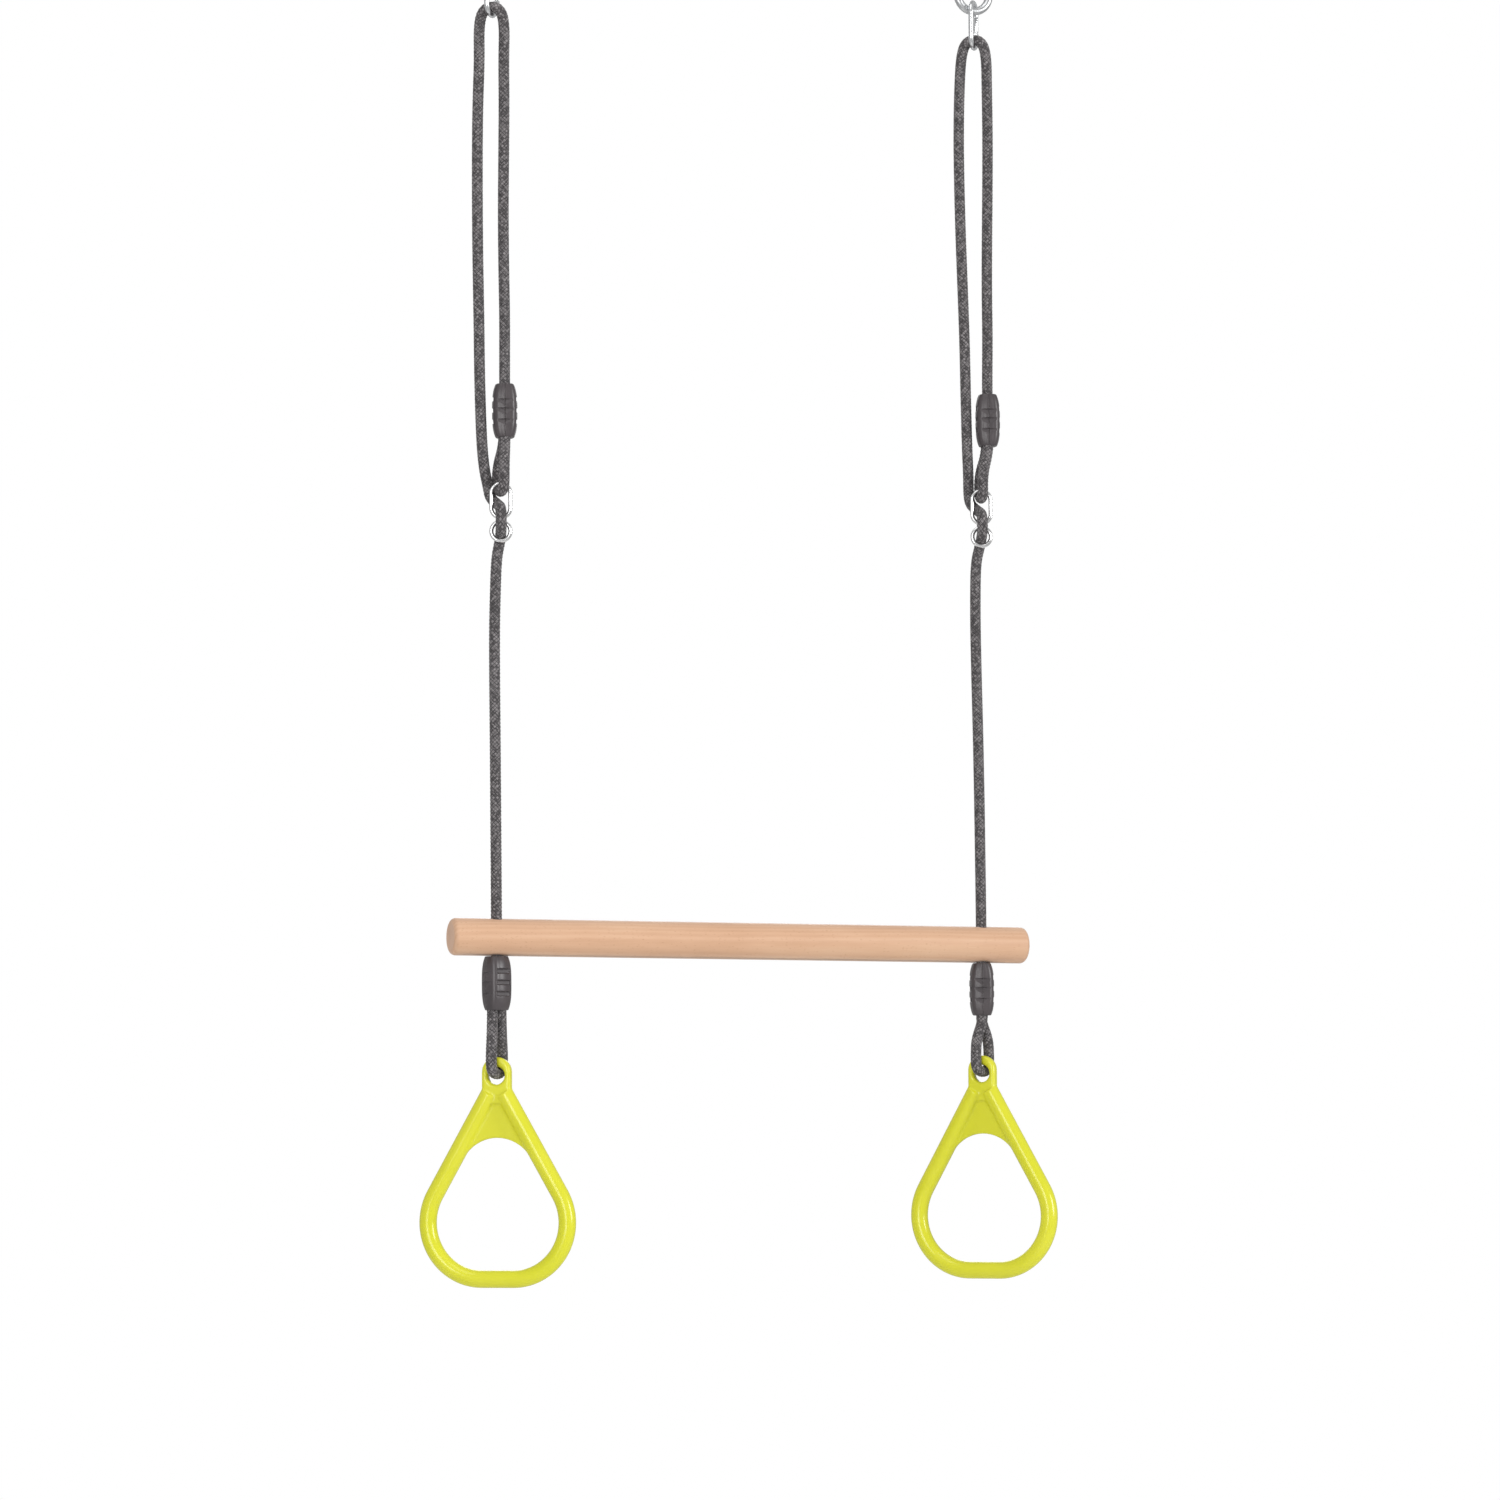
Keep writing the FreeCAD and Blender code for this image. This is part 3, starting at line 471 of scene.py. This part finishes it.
# ---------------------------------------------------------------- material helpers
class Nodes:
    """A new material and its node tree, built one call a node."""

    def __init__(self, name):
        self.material = bpy.data.materials.new(name)
        self.material.use_nodes = True
        self.tree = self.material.node_tree
        self.shader = self.tree.nodes["Principled BSDF"]

    def add(self, kind, inputs=None, **settings):
        """A node with its settings, and its inputs linked or set."""
        node = self.tree.nodes.new(kind)
        for key, value in settings.items():
            setattr(node, key, value)
        for key, value in (inputs or {}).items():
            self.put(node.inputs[key], value)
        return node

    def put(self, socket, value):
        """Links a socket to another one or to a node's first output, or sets its number."""
        if isinstance(value, bpy.types.NodeSocket):
            self.tree.links.new(value, socket)
        elif isinstance(value, bpy.types.Node):
            self.tree.links.new(value.outputs[0], socket)
        else:
            socket.default_value = value

    def set(self, **values):
        """Links or sets inputs of the shader, named with _ for each space."""
        for key, value in values.items():
            self.put(self.shader.inputs[key.replace("_", " ")], value)

    def math(self, operation, a, b=0.0, c=0.0):
        node = self.add("ShaderNodeMath", operation=operation)
        for socket, value in zip(node.inputs, (a, b, c)):
            self.put(socket, value)
        return node.outputs[0]

    def choose(self, factor, a, b):
        """a where factor is 0, b where it is 1."""
        node = self.add("ShaderNodeMix", data_type="FLOAT")
        for socket, value in zip((node.inputs[0], node.inputs[2], node.inputs[3]), (factor, a, b)):
            self.put(socket, value)
        return node.outputs[0]

    def ramp(self, factor, stops):
        """A colour ramp with a colour at each of these places."""
        node = self.add("ShaderNodeValToRGB", {"Fac": factor})
        ramp = node.color_ramp
        while len(ramp.elements) < len(stops):
            ramp.elements.new(0.5)
        for element, (at, colour) in zip(ramp.elements, stops):
            element.position = at
            element.color = (*colour, 1.0)
        return node.outputs["Color"]

    def mix(self, factor, a, b):
        """Colour a where factor is 0, b where it is 1."""
        node = self.add("ShaderNodeMix", data_type="RGBA")
        self.put(node.inputs[0], factor)
        for socket, colour in ((node.inputs[6], a), (node.inputs[7], b)):
            self.put(socket, (*colour, 1.0) if isinstance(colour, tuple) else colour)
        return node.outputs[2]

    def place(self, scale=(1.0, 1.0, 1.0)):
        """The object's own coordinates, in metres times scale."""
        where = self.add("ShaderNodeTexCoord").outputs["Object"]
        return self.add("ShaderNodeMapping", {"Vector": where, "Scale": scale}).outputs[0]

    def noise(self, where, scale, detail=2.0, roughness=0.5):
        return self.add("ShaderNodeTexNoise", {"Vector": where, "Scale": scale, "Detail": detail,
                                               "Roughness": roughness}).outputs["Fac"]

    def spread(self, value, low, high):
        """A value from 0 to 1 brought to the range low to high."""
        return self.add("ShaderNodeMapRange", {"Value": value, "To Min": low, "To Max": high}
                        ).outputs[0]

    def bump(self, height_value, strength, distance, below=None):
        inputs = {"Height": height_value, "Strength": strength, "Distance": distance}
        if below is not None:
            inputs["Normal"] = below
        return self.add("ShaderNodeBump", inputs).outputs[0]


def linear(*srgb):
    """A linear colour from sRGB numbers of 0 to 255."""
    def channel(value):
        value /= 255
        return value / 12.92 if value <= 0.04045 else ((value + 0.055) / 1.055) ** 2.4
    return tuple(channel(value) for value in srgb)


YARNS = 5.0                 # side by side in a strand
LIGHT_OVER = 0.66           # crossings with a random number over this are lighter
FLECK_OVER = 0.74           # and so are short stretches of yarn over this
OTHER_WAY = 20.0            # added to a strand's number where it runs the other way round


def rope_material():
    """Dark yarns side by side in each strand, lighter crossings and flecks, painted shade between
    yarns and strands.
    """
    n = Nodes("braided_rope")
    uv = n.add("ShaderNodeUVMap", uv_map="braid").outputs[0]
    split = n.add("ShaderNodeSeparateXYZ", {"Vector": uv})
    across = n.math("ADD", split.outputs[0], split.outputs[1])
    back = n.math("SUBTRACT", split.outputs[0], split.outputs[1])
    floor_a, floor_b = n.math("FLOOR", across), n.math("FLOOR", back)
    odd = n.math("FLOORED_MODULO", n.math("ADD", floor_a, floor_b), 2.0)
    under = n.math("GREATER_THAN", odd, 0.5)

    # the place across the strand that is on top, and which crossing this is
    over_it = n.choose(under, across, back)
    strand = n.math("FLOORED_MODULO", n.math("FLOOR", over_it), float(STRANDS))
    number = n.math("MULTIPLY_ADD", under, OTHER_WAY, strand)
    step = n.math("SUBTRACT", floor_a, floor_b)
    crossing = n.add("ShaderNodeCombineXYZ", {0: strand, 1: step}).outputs[0]
    lit = n.add("ShaderNodeTexWhiteNoise", {"Vector": crossing}).outputs["Value"]
    lit = n.math("GREATER_THAN", lit, LIGHT_OVER)
    tint = n.add("ShaderNodeTexWhiteNoise", {"W": number}, noise_dimensions="1D").outputs["Value"]
    yarn = n.math("SINE", n.math("MULTIPLY", over_it, 2 * math.pi * YARNS))
    yarn = n.math("MULTIPLY_ADD", yarn, 0.5, 0.5)
    thread = n.math("FLOOR", n.math("MULTIPLY", over_it, YARNS))
    thread = n.math("FLOORED_MODULO", thread, STRANDS * YARNS)
    spot = n.add("ShaderNodeCombineXYZ", {0: thread, 1: step, 2: under}).outputs[0]
    fleck = n.add("ShaderNodeTexWhiteNoise", {"Vector": spot}).outputs["Value"]
    fleck = n.math("GREATER_THAN", fleck, FLECK_OVER)

    def from_middle(value):
        """0 at the middle of a strand, 1 at its edges."""
        middle = n.math("SUBTRACT", n.math("FRACT", value), 0.5)
        return n.math("MULTIPLY", n.math("ABSOLUTE", middle), 2.0)

    edge = n.math("MAXIMUM", from_middle(across), from_middle(back))
    # painted shade: the valleys at the strands' edges are darkened, standing in for the shade
    # there
    valley_shade = n.add("ShaderNodeMapRange", {"Value": edge, "From Min": 0.60, "From Max": 1.0},
                   interpolation_type="SMOOTHSTEP").outputs[0]
    where = n.place()
    fibre = n.noise(where, 2600.0, 3.0, 0.6)
    patch = n.noise(where, 55.0, 2.0)

    shade = n.math("MULTIPLY_ADD", tint, 0.16, n.math("MULTIPLY", fibre, 0.84))
    colour = n.ramp(shade, [(0.25, linear(70, 67, 68)), (0.50, linear(86, 83, 84)),
                            (0.75, linear(103, 99, 100))])
    colour = n.mix(n.math("MULTIPLY", lit, 0.55), colour, linear(158, 153, 154))
    colour = n.mix(n.math("MULTIPLY", fleck, 0.60), colour, linear(178, 173, 174))
    # painted shade: the grooves between yarns are darkened
    yarn_groove_shade = n.math("MULTIPLY", n.math("SUBTRACT", 1.0, yarn), 0.34)
    colour = n.mix(yarn_groove_shade, colour, linear(48, 46, 48))
    # painted shade: darkens the valleys between strands towards near-black
    colour = n.mix(n.math("MULTIPLY", valley_shade, 0.80), colour, linear(30, 28, 30))
    colour = n.mix(n.math("MULTIPLY", patch, 0.12), colour, linear(104, 99, 101))
    normal = n.bump(yarn, 0.60, 0.00012)
    normal = n.bump(fibre, 0.35, 0.00006, normal)
    n.set(Base_Color=colour, Roughness=n.spread(fibre, 0.68, 0.92), Normal=normal)
    n.set(Sheen_Weight=0.15, Sheen_Roughness=0.45, Specular_IOR_Level=0.35)
    return n.material


def ring_material():
    """Glossy moulded plastic with a faint orange peel and fine scuffs."""
    n = Nodes("lime_plastic")
    where = n.place()
    cloud = n.noise(where, 14.0, 3.0, 0.55)
    peel = n.noise(where, 260.0, 2.0, 0.5)
    scratch = n.noise(n.place((1.0, 1.0, 7.0)), 240.0, 4.0, 0.75)
    colour = n.ramp(cloud, [(0.25, linear(214, 215, 42)), (0.55, linear(220, 219, 52)),
                            (0.80, linear(224, 223, 62))])
    scuffed = n.math("GREATER_THAN", scratch, 0.76)
    colour = n.mix(n.math("MULTIPLY", scuffed, 0.10), colour, linear(228, 231, 120))
    rough = n.math("MULTIPLY_ADD", peel, 0.04, 0.19)
    rough = n.math("MULTIPLY_ADD", scuffed, 0.08, rough)
    n.set(Base_Color=colour, Roughness=rough, Normal=n.bump(peel, 0.012, 0.00020))
    n.set(Coat_Weight=0.10, Coat_Roughness=0.12, Specular_IOR_Level=0.42)
    return n.material


def clamp_material():
    """Satin moulded plastic with a fine grain and rubbed spots."""
    n = Nodes("charcoal_plastic")
    where = n.place()
    cloud = n.noise(where, 60.0, 2.0, 0.5)
    grain = n.noise(where, 1900.0, 2.0, 0.6)
    scuff = n.noise(n.place((1.0, 1.0, 4.0)), 420.0, 4.0, 0.7)
    colour = n.ramp(cloud, [(0.3, linear(67, 62, 64)), (0.7, linear(78, 72, 74))])
    worn = n.math("GREATER_THAN", scuff, 0.66)
    colour = n.mix(n.math("MULTIPLY", worn, 0.25), colour, linear(116, 110, 111))
    rough = n.math("MULTIPLY_ADD", grain, 0.14, 0.28)
    normal = n.bump(grain, 0.22, 0.00006)
    n.set(Base_Color=colour, Roughness=rough, Normal=normal, Specular_IOR_Level=0.5)
    return n.material


PITH_DEPTH = 0.085          # the middle of the tree is this far in front of the bar's middle
PITH_DROP = 0.99            # and this far below the beam
YEAR = 0.0042               # width of a yearly ring
YEAR_WANDER = 0.012         # how far the rings drift along the bar


def bar_material():
    """Beech: fine straight grain with short dark rays along it, and faint yearly rings."""
    n = Nodes("beech")
    where = n.place()
    long_grain = n.place((0.05, 1.0, 1.0))
    wander = n.noise(n.place((0.8, 1.0, 1.0)), 6.0, 2.0)
    split = n.add("ShaderNodeSeparateXYZ", {"Vector": where})
    height_in_log = n.math("ADD", split.outputs[2], n.math("MULTIPLY", wander, YEAR_WANDER))
    depth_in_log = n.math("ADD", split.outputs[1], PITH_DEPTH)
    lift = n.math("ADD", height_in_log, PITH_DROP)
    from_pith = n.math("SQRT", n.math("ADD", n.math("POWER", depth_in_log, 2.0),
                                      n.math("POWER", lift, 2.0)))
    years = n.math("SINE", n.math("MULTIPLY", from_pith, 2 * math.pi / YEAR))
    years = n.math("MULTIPLY_ADD", years, 0.5, 0.5)
    fine = n.noise(long_grain, 900.0, 3.0, 0.6)
    broad = n.noise(n.place((0.25, 1.0, 1.0)), 28.0, 3.0, 0.55)
    cell = n.add("ShaderNodeTexVoronoi", {"Vector": n.place((0.22, 1.0, 1.0)), "Scale": 950.0,
                                          "Randomness": 1.0}, feature="F1")
    ray = n.math("LESS_THAN", cell.outputs["Distance"], 0.22)
    chance = n.add("ShaderNodeSeparateColor", {"Color": cell.outputs["Color"]}).outputs[0]
    ray = n.math("MULTIPLY", ray, n.math("GREATER_THAN", chance, 0.62))

    tone = n.math("ADD", n.math("MULTIPLY", broad, 0.68), n.math("MULTIPLY", years, 0.12))
    tone = n.math("ADD", tone, n.math("MULTIPLY", fine, 0.20))
    colour = n.ramp(tone, [(0.22, linear(198, 153, 120)), (0.50, linear(214, 171, 138)),
                           (0.78, linear(225, 188, 156))])
    colour = n.mix(n.math("MULTIPLY", ray, 0.42), colour, linear(176, 122, 88))
    normal = n.bump(fine, 0.12, 0.00012)
    normal = n.bump(n.math("SUBTRACT", 1.0, ray), 0.20, 0.00008, normal)
    n.set(Base_Color=colour, Roughness=n.spread(fine, 0.40, 0.58), Normal=normal)
    n.set(Coat_Weight=0.12, Coat_Roughness=0.35, Specular_IOR_Level=0.4)
    n.set(Sheen_Weight=0.20, Sheen_Roughness=0.50)
    return n.material


def steel_material(name, bright, dull, low, high, spangle):
    """Zinc plated steel: bright to dull colours, low to high roughness, share of crystals."""
    n = Nodes(name)
    where = n.place()
    cloud = n.noise(where, 90.0, 3.0, 0.6)
    fine = n.noise(where, 1400.0, 3.0, 0.65)
    drawn = n.noise(n.place((1.0, 1.0, 0.15)), 2200.0, 2.0, 0.6)
    cell = n.add("ShaderNodeTexVoronoi", {"Vector": where, "Scale": 700.0}, feature="F1")
    flake = n.add("ShaderNodeSeparateColor", {"Color": cell.outputs["Color"]}).outputs[0]
    tone = n.math("ADD", n.math("MULTIPLY", cloud, 1.0 - spangle),
                  n.math("MULTIPLY", flake, spangle))
    colour = n.ramp(tone, [(0.25, dull), (0.75, bright)])
    tarnish = n.math("GREATER_THAN", n.noise(where, 260.0, 4.0, 0.7), 0.66)
    colour = n.mix(n.math("MULTIPLY", tarnish, 0.35), colour, tuple(c * 0.55 for c in dull))
    rough = n.spread(n.math("MULTIPLY_ADD", fine, 0.5, n.math("MULTIPLY", cloud, 0.5)), low, high)
    normal = n.bump(drawn, 0.10, 0.00005)
    normal = n.bump(fine, 0.12, 0.00004, normal)
    n.set(Base_Color=colour, Roughness=rough, Normal=normal, Metallic=1.0)
    return n.material


materials = {
    "rope": rope_material(),
    "ring": ring_material(),
    "clamp": clamp_material(),
    "bar": bar_material(),
    "galvanised": steel_material("galvanised_steel", (0.74, 0.75, 0.76), (0.55, 0.56, 0.57),
                                 0.24, 0.42, 0.22),
    "link": steel_material("bright_zinc", (0.86, 0.87, 0.88), (0.70, 0.71, 0.72),
                           0.14, 0.30, 0.15),
    "adjuster": steel_material("bright_wire", (0.88, 0.88, 0.88), (0.74, 0.74, 0.74),
                               0.12, 0.26, 0.1),
}


def dress(obj, word):
    """Gives a piece one material and no other."""
    obj.data.materials.clear()
    obj.data.materials.append(materials[word])


for side in SIDES:
    for rope in rope_pieces[side].values():
        dress(rope, "rope")


# ---------------------------------------------------------------- moulded and forged pieces
def new_mesh_object(name, bm):
    mesh = bpy.data.meshes.new(name)
    bm.to_mesh(mesh)
    bm.free()
    obj = bpy.data.objects.new(name, mesh)
    scene.collection.objects.link(obj)
    return obj


def apply_modifiers(obj):
    """The object's mesh becomes what its modifiers make of it."""
    bpy.context.view_layer.update()
    depsgraph = bpy.context.evaluated_depsgraph_get()
    mesh = bpy.data.meshes.new_from_object(obj.evaluated_get(depsgraph))
    obj.modifiers.clear()
    old = obj.data
    obj.data = mesh
    mesh.name = obj.name
    bpy.data.meshes.remove(old)


SAME_VERTEX = 1e-6          # vertices of the CAD's meshes that are closer than this are one


def softened(name, source_nodes, voxel, passes, extra=None, cut_above=None):
    """A copy of CAD nodes with every crease and joint rounded, as moulding and forging leave it.

    extra adds to the bmesh before it is remeshed. What is above cut_above is cut off.
    """
    bm = bmesh.new()
    for node in source_nodes:
        bm.from_mesh(nodes[node].data)
    bmesh.ops.remove_doubles(bm, verts=bm.verts, dist=SAME_VERTEX)
    if cut_above is not None:
        bmesh.ops.bisect_plane(bm, geom=bm.verts[:] + bm.edges[:] + bm.faces[:], dist=1e-7,
                               plane_co=(0, 0, cut_above), plane_no=(0, 0, 1), clear_outer=True)
        bmesh.ops.holes_fill(bm, edges=[e for e in bm.edges if e.is_boundary])
    if extra:
        extra(bm)
    obj = new_mesh_object(name, bm)
    remesh = obj.modifiers.new("remesh", "REMESH")
    remesh.mode = "VOXEL"
    remesh.voxel_size = voxel
    remesh.use_smooth_shade = True
    smooth = obj.modifiers.new("smooth", "SMOOTH")
    smooth.factor = 0.5
    smooth.iterations = passes
    apply_modifiers(obj)
    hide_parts(*source_nodes)
    return obj


# How each kind of piece is softened: size of the remesh's voxels, passes of smoothing.
RING_SOFTENING = (0.0009, 9)
EYE_BOLT_SOFTENING = (0.0005, 6)
ADJUSTER_SOFTENING = (0.0004, 5)
CLAMP_SOFTENING = (0.00045, 5)


def add_hand_ring(side):
    ring = softened(side + "_moulded_ring", [side + "_hand_ring"], *RING_SOFTENING)
    dress(ring, "ring")
    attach(ring, side + "_ring")


SHANK_D = 0.008
SHANK_LENGTH = 0.045
SHANK_SUNK = 0.001          # its foot is this far inside the collar
SHANK_CHAMFER = 0.002       # length of the tapered end
CHAMFER_SLOPE = 0.75
THREAD_PITCH = 0.00125
THREAD_DEPTH = 0.0007
THREAD_STEPS = 8            # mesh rings in one pitch
THREAD_AROUND = 40          # mesh points round the shank
FLANK_RISE = 1.25           # slope of a ridge's sides, over a plain triangle's
FLANK_FOOT = 0.12           # and how much is taken off its height, which rounds the root


def add_thread(bm, x):
    """A threaded shank standing on the beam face above the collar."""
    step = THREAD_PITCH / THREAD_STEPS
    count = int((SHANK_LENGTH + SHANK_SUNK) / step)
    rings = []
    for i in range(count + 1):
        z = -SHANK_SUNK + i * step
        ring = []
        chamfer = max(0.0, z - (SHANK_LENGTH - SHANK_CHAMFER)) * CHAMFER_SLOPE
        for k in range(THREAD_AROUND):
            a = 2 * math.pi * k / THREAD_AROUND
            phase = (z / THREAD_PITCH - k / THREAD_AROUND) % 1.0
            flank = 1 - abs(2 * phase - 1)
            ridge = min(1.0, max(0.0, flank * FLANK_RISE - FLANK_FOOT))
            r = SHANK_D / 2 - THREAD_DEPTH * (1 - ridge)
            r = min(r, SHANK_D / 2 - chamfer)
            ring.append(bm.verts.new((x + r * math.cos(a), r * math.sin(a), z)))
        rings.append(ring)
    for low, high in zip(rings, rings[1:]):
        for k in range(THREAD_AROUND):
            j = (k + 1) % THREAD_AROUND
            bm.faces.new((low[k], low[j], high[j], high[k]))
    bm.faces.new(rings[0][::-1])
    bm.faces.new(rings[-1])


COLLAR_CUT = 0.0004         # the CAD's plain shank is cut off at this height


def add_eye_bolt(side):
    """The forged eye and collar, and its threaded shank."""
    node = side + "_eye_bolt"
    forged = softened(side + "_forged_eye", [node], *EYE_BOLT_SOFTENING, cut_above=COLLAR_CUT)
    bm = bmesh.new()
    bm.from_mesh(forged.data)
    add_thread(bm, PLACES[side]["x_eye"])
    bm.normal_update()
    for face in bm.faces:
        face.smooth = True
    bm.to_mesh(forged.data)
    bm.free()
    dress(forged, "galvanised")
    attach(forged, "beam_eyes")


BEAD_R = 0.0019
BEAD_APART = 0.0026         # each bead's middle is this far from the weld's
BEAD_SHAPE = (1.25, 0.95, 1.0, 1.0)


def add_adjuster(side):
    """The figure of eight, its two rings run together by the weld."""
    node = side + "_adjuster"
    place = PLACES[side]
    weld = side_point(side, place["adjuster"], 0.0, place["weld"])

    def weld_bead(bm):
        for sign in (-1, 1):
            centre = weld + turned(LOOP_ANGLE, sign * BEAD_APART, 0.0, 0.0)
            spot = Matrix.Translation(centre) @ Matrix.Diagonal(BEAD_SHAPE)
            bmesh.ops.create_icosphere(bm, subdivisions=3, radius=BEAD_R, matrix=spot)

    figure = softened(side + "_welded_adjuster", [node], *ADJUSTER_SOFTENING, extra=weld_bead)
    dress(figure, "adjuster")
    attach(figure, "adjusters")


def add_clamp_half(side, where, half):
    node = f"{side}_{where}_clamp_{half}"
    moulded = softened(node.replace("clamp", "moulded_clamp"), [node], *CLAMP_SOFTENING)
    dress(moulded, "clamp")
    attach(moulded, "adjusters" if where == "upper" else "lower")


for side in SIDES:
    add_hand_ring(side)
    add_eye_bolt(side)
    add_adjuster(side)

for side in SIDES:
    for where in ("upper", "lower"):
        for half in ("front", "back"):
            add_clamp_half(side, where, half)


# ---------------------------------------------------------------- CAD nodes that stay
# Rounds: width, and the angle in degrees from which an edge is sharp enough to get one.
LINK_ROUNDS = (0.00018, 32.0)
BAR_ROUNDS = (0.0004, 40.0)
ROUND_SEGMENTS = 2


def rounded_edges(node, width, sharper_than):
    """Small rounds on a CAD node's edges that turn by more than this angle, by modifiers."""
    obj = nodes[node]
    weld = obj.modifiers.new("weld", "WELD")
    weld.merge_threshold = SAME_VERTEX
    bevel = obj.modifiers.new("bevel", "BEVEL")
    bevel.width = width
    bevel.segments = ROUND_SEGMENTS
    bevel.limit_method = "ANGLE"
    bevel.angle_limit = math.radians(sharper_than)
    bevel.harden_normals = True
    bevel.use_clamp_overlap = True


for side in SIDES:
    for word in ("link_body", "link_gate", "link_gate_pin"):
        dress(nodes[f"{side}_{word}"], "link")
        rounded_edges(f"{side}_{word}", *LINK_ROUNDS)
rounded_edges("bar", *BAR_ROUNDS)
dress(nodes["bar"], "bar")

# ---------------------------------------------------------------- floor and light
FLOOR_DROP = 0.34           # the rings hang this far above the floor
FLOOR_R = 2.2
FLOOR_FADE = (0.8, 1.7)     # it fades out between these distances from its middle
WORLD_HEIGHTS = (-0.8, 0.9)     # how steeply a ray falls or rises, from -1 to 1,
WORLD_GREYS = (0.46, 0.50)      # and the grey that lights the object from there


def add_floor():
    """A pale floor that fades out where it would only be seen as a horizon."""
    low, _ = cad_box
    bm = bmesh.new()
    bmesh.ops.create_circle(bm, cap_ends=True, cap_tris=False, segments=96, radius=FLOOR_R)
    floor = new_mesh_object("floor", bm)
    floor.location = (0.0, 0.0, low.z - FLOOR_DROP)
    n = Nodes("pale_floor")
    where = n.add("ShaderNodeTexCoord").outputs["Object"]
    away = n.add("ShaderNodeVectorMath", {0: where}, operation="LENGTH").outputs["Value"]
    near, far = FLOOR_FADE
    fade = n.add("ShaderNodeMapRange", {"Value": away, "From Min": near, "From Max": far,
                                        "To Min": 1.0, "To Max": 0.0},
                 interpolation_type="SMOOTHSTEP").outputs[0]
    n.set(Base_Color=(0.90, 0.90, 0.90, 1.0), Roughness=0.9, Alpha=fade)
    floor.data.materials.append(n.material)


def add_softbox(name, toward, distance, size, power):
    """A white area light, this way and this far from the middle of the object, facing it."""
    middle = (cad_box[0] + cad_box[1]) / 2
    data = bpy.data.lights.new(name, "AREA")
    data.shape = "RECTANGLE"
    data.size, data.size_y = size
    data.energy = power
    lamp = bpy.data.objects.new(name, data)
    scene.collection.objects.link(lamp)
    direction = Vector(toward).normalized()
    lamp.location = middle + direction * distance
    lamp.rotation_mode = "QUATERNION"
    lamp.rotation_quaternion = direction.to_track_quat("Z", "Y")


def add_world():
    """White where it is seen, and a softer grey where it lights and is mirrored."""
    world = bpy.data.worlds.new("studio")
    world.use_nodes = True
    tree = world.node_tree
    seen = tree.nodes["Background"]
    seen.inputs["Color"].default_value = (1.0, 1.0, 1.0, 1.0)
    light = tree.nodes.new("ShaderNodeBackground")
    way = tree.nodes.new("ShaderNodeTexCoord")
    split = tree.nodes.new("ShaderNodeSeparateXYZ")
    rise = tree.nodes.new("ShaderNodeMapRange")
    for socket, value in zip(("From Min", "From Max", "To Min", "To Max"),
                             WORLD_HEIGHTS + WORLD_GREYS):
        rise.inputs[socket].default_value = value
    tree.links.new(way.outputs["Generated"], split.inputs[0])
    tree.links.new(split.outputs["Z"], rise.inputs["Value"])
    tree.links.new(rise.outputs[0], light.inputs["Color"])
    path = tree.nodes.new("ShaderNodeLightPath")
    mix = tree.nodes.new("ShaderNodeMixShader")
    tree.links.new(path.outputs["Is Camera Ray"], mix.inputs[0])
    tree.links.new(light.outputs[0], mix.inputs[1])
    tree.links.new(seen.outputs[0], mix.inputs[2])
    tree.links.new(mix.outputs[0], tree.nodes["World Output"].inputs["Surface"])
    scene.world = world
    scene.view_settings.view_transform = "Standard"


SOFTBOXES = [
    # name, which way it stands from the object, how far, its width and height, watts
    ("key_light", (0.655, -0.740, 0.150), 9.0, (1.8, 3.4), 330.0),
    ("top_light", (-0.25, -0.45, 0.86), 3.6, (2.4, 2.4), 26.0),
    ("fill_light", (-0.60, -0.86, 0.05), 4.6, (1.8, 2.6), 74.0),
    ("back_light", (0.30, 0.90, 0.30), 4.2, (2.2, 2.2), 28.0),
]

add_floor()
add_world()
for softbox in SOFTBOXES:
    add_softbox(*softbox)
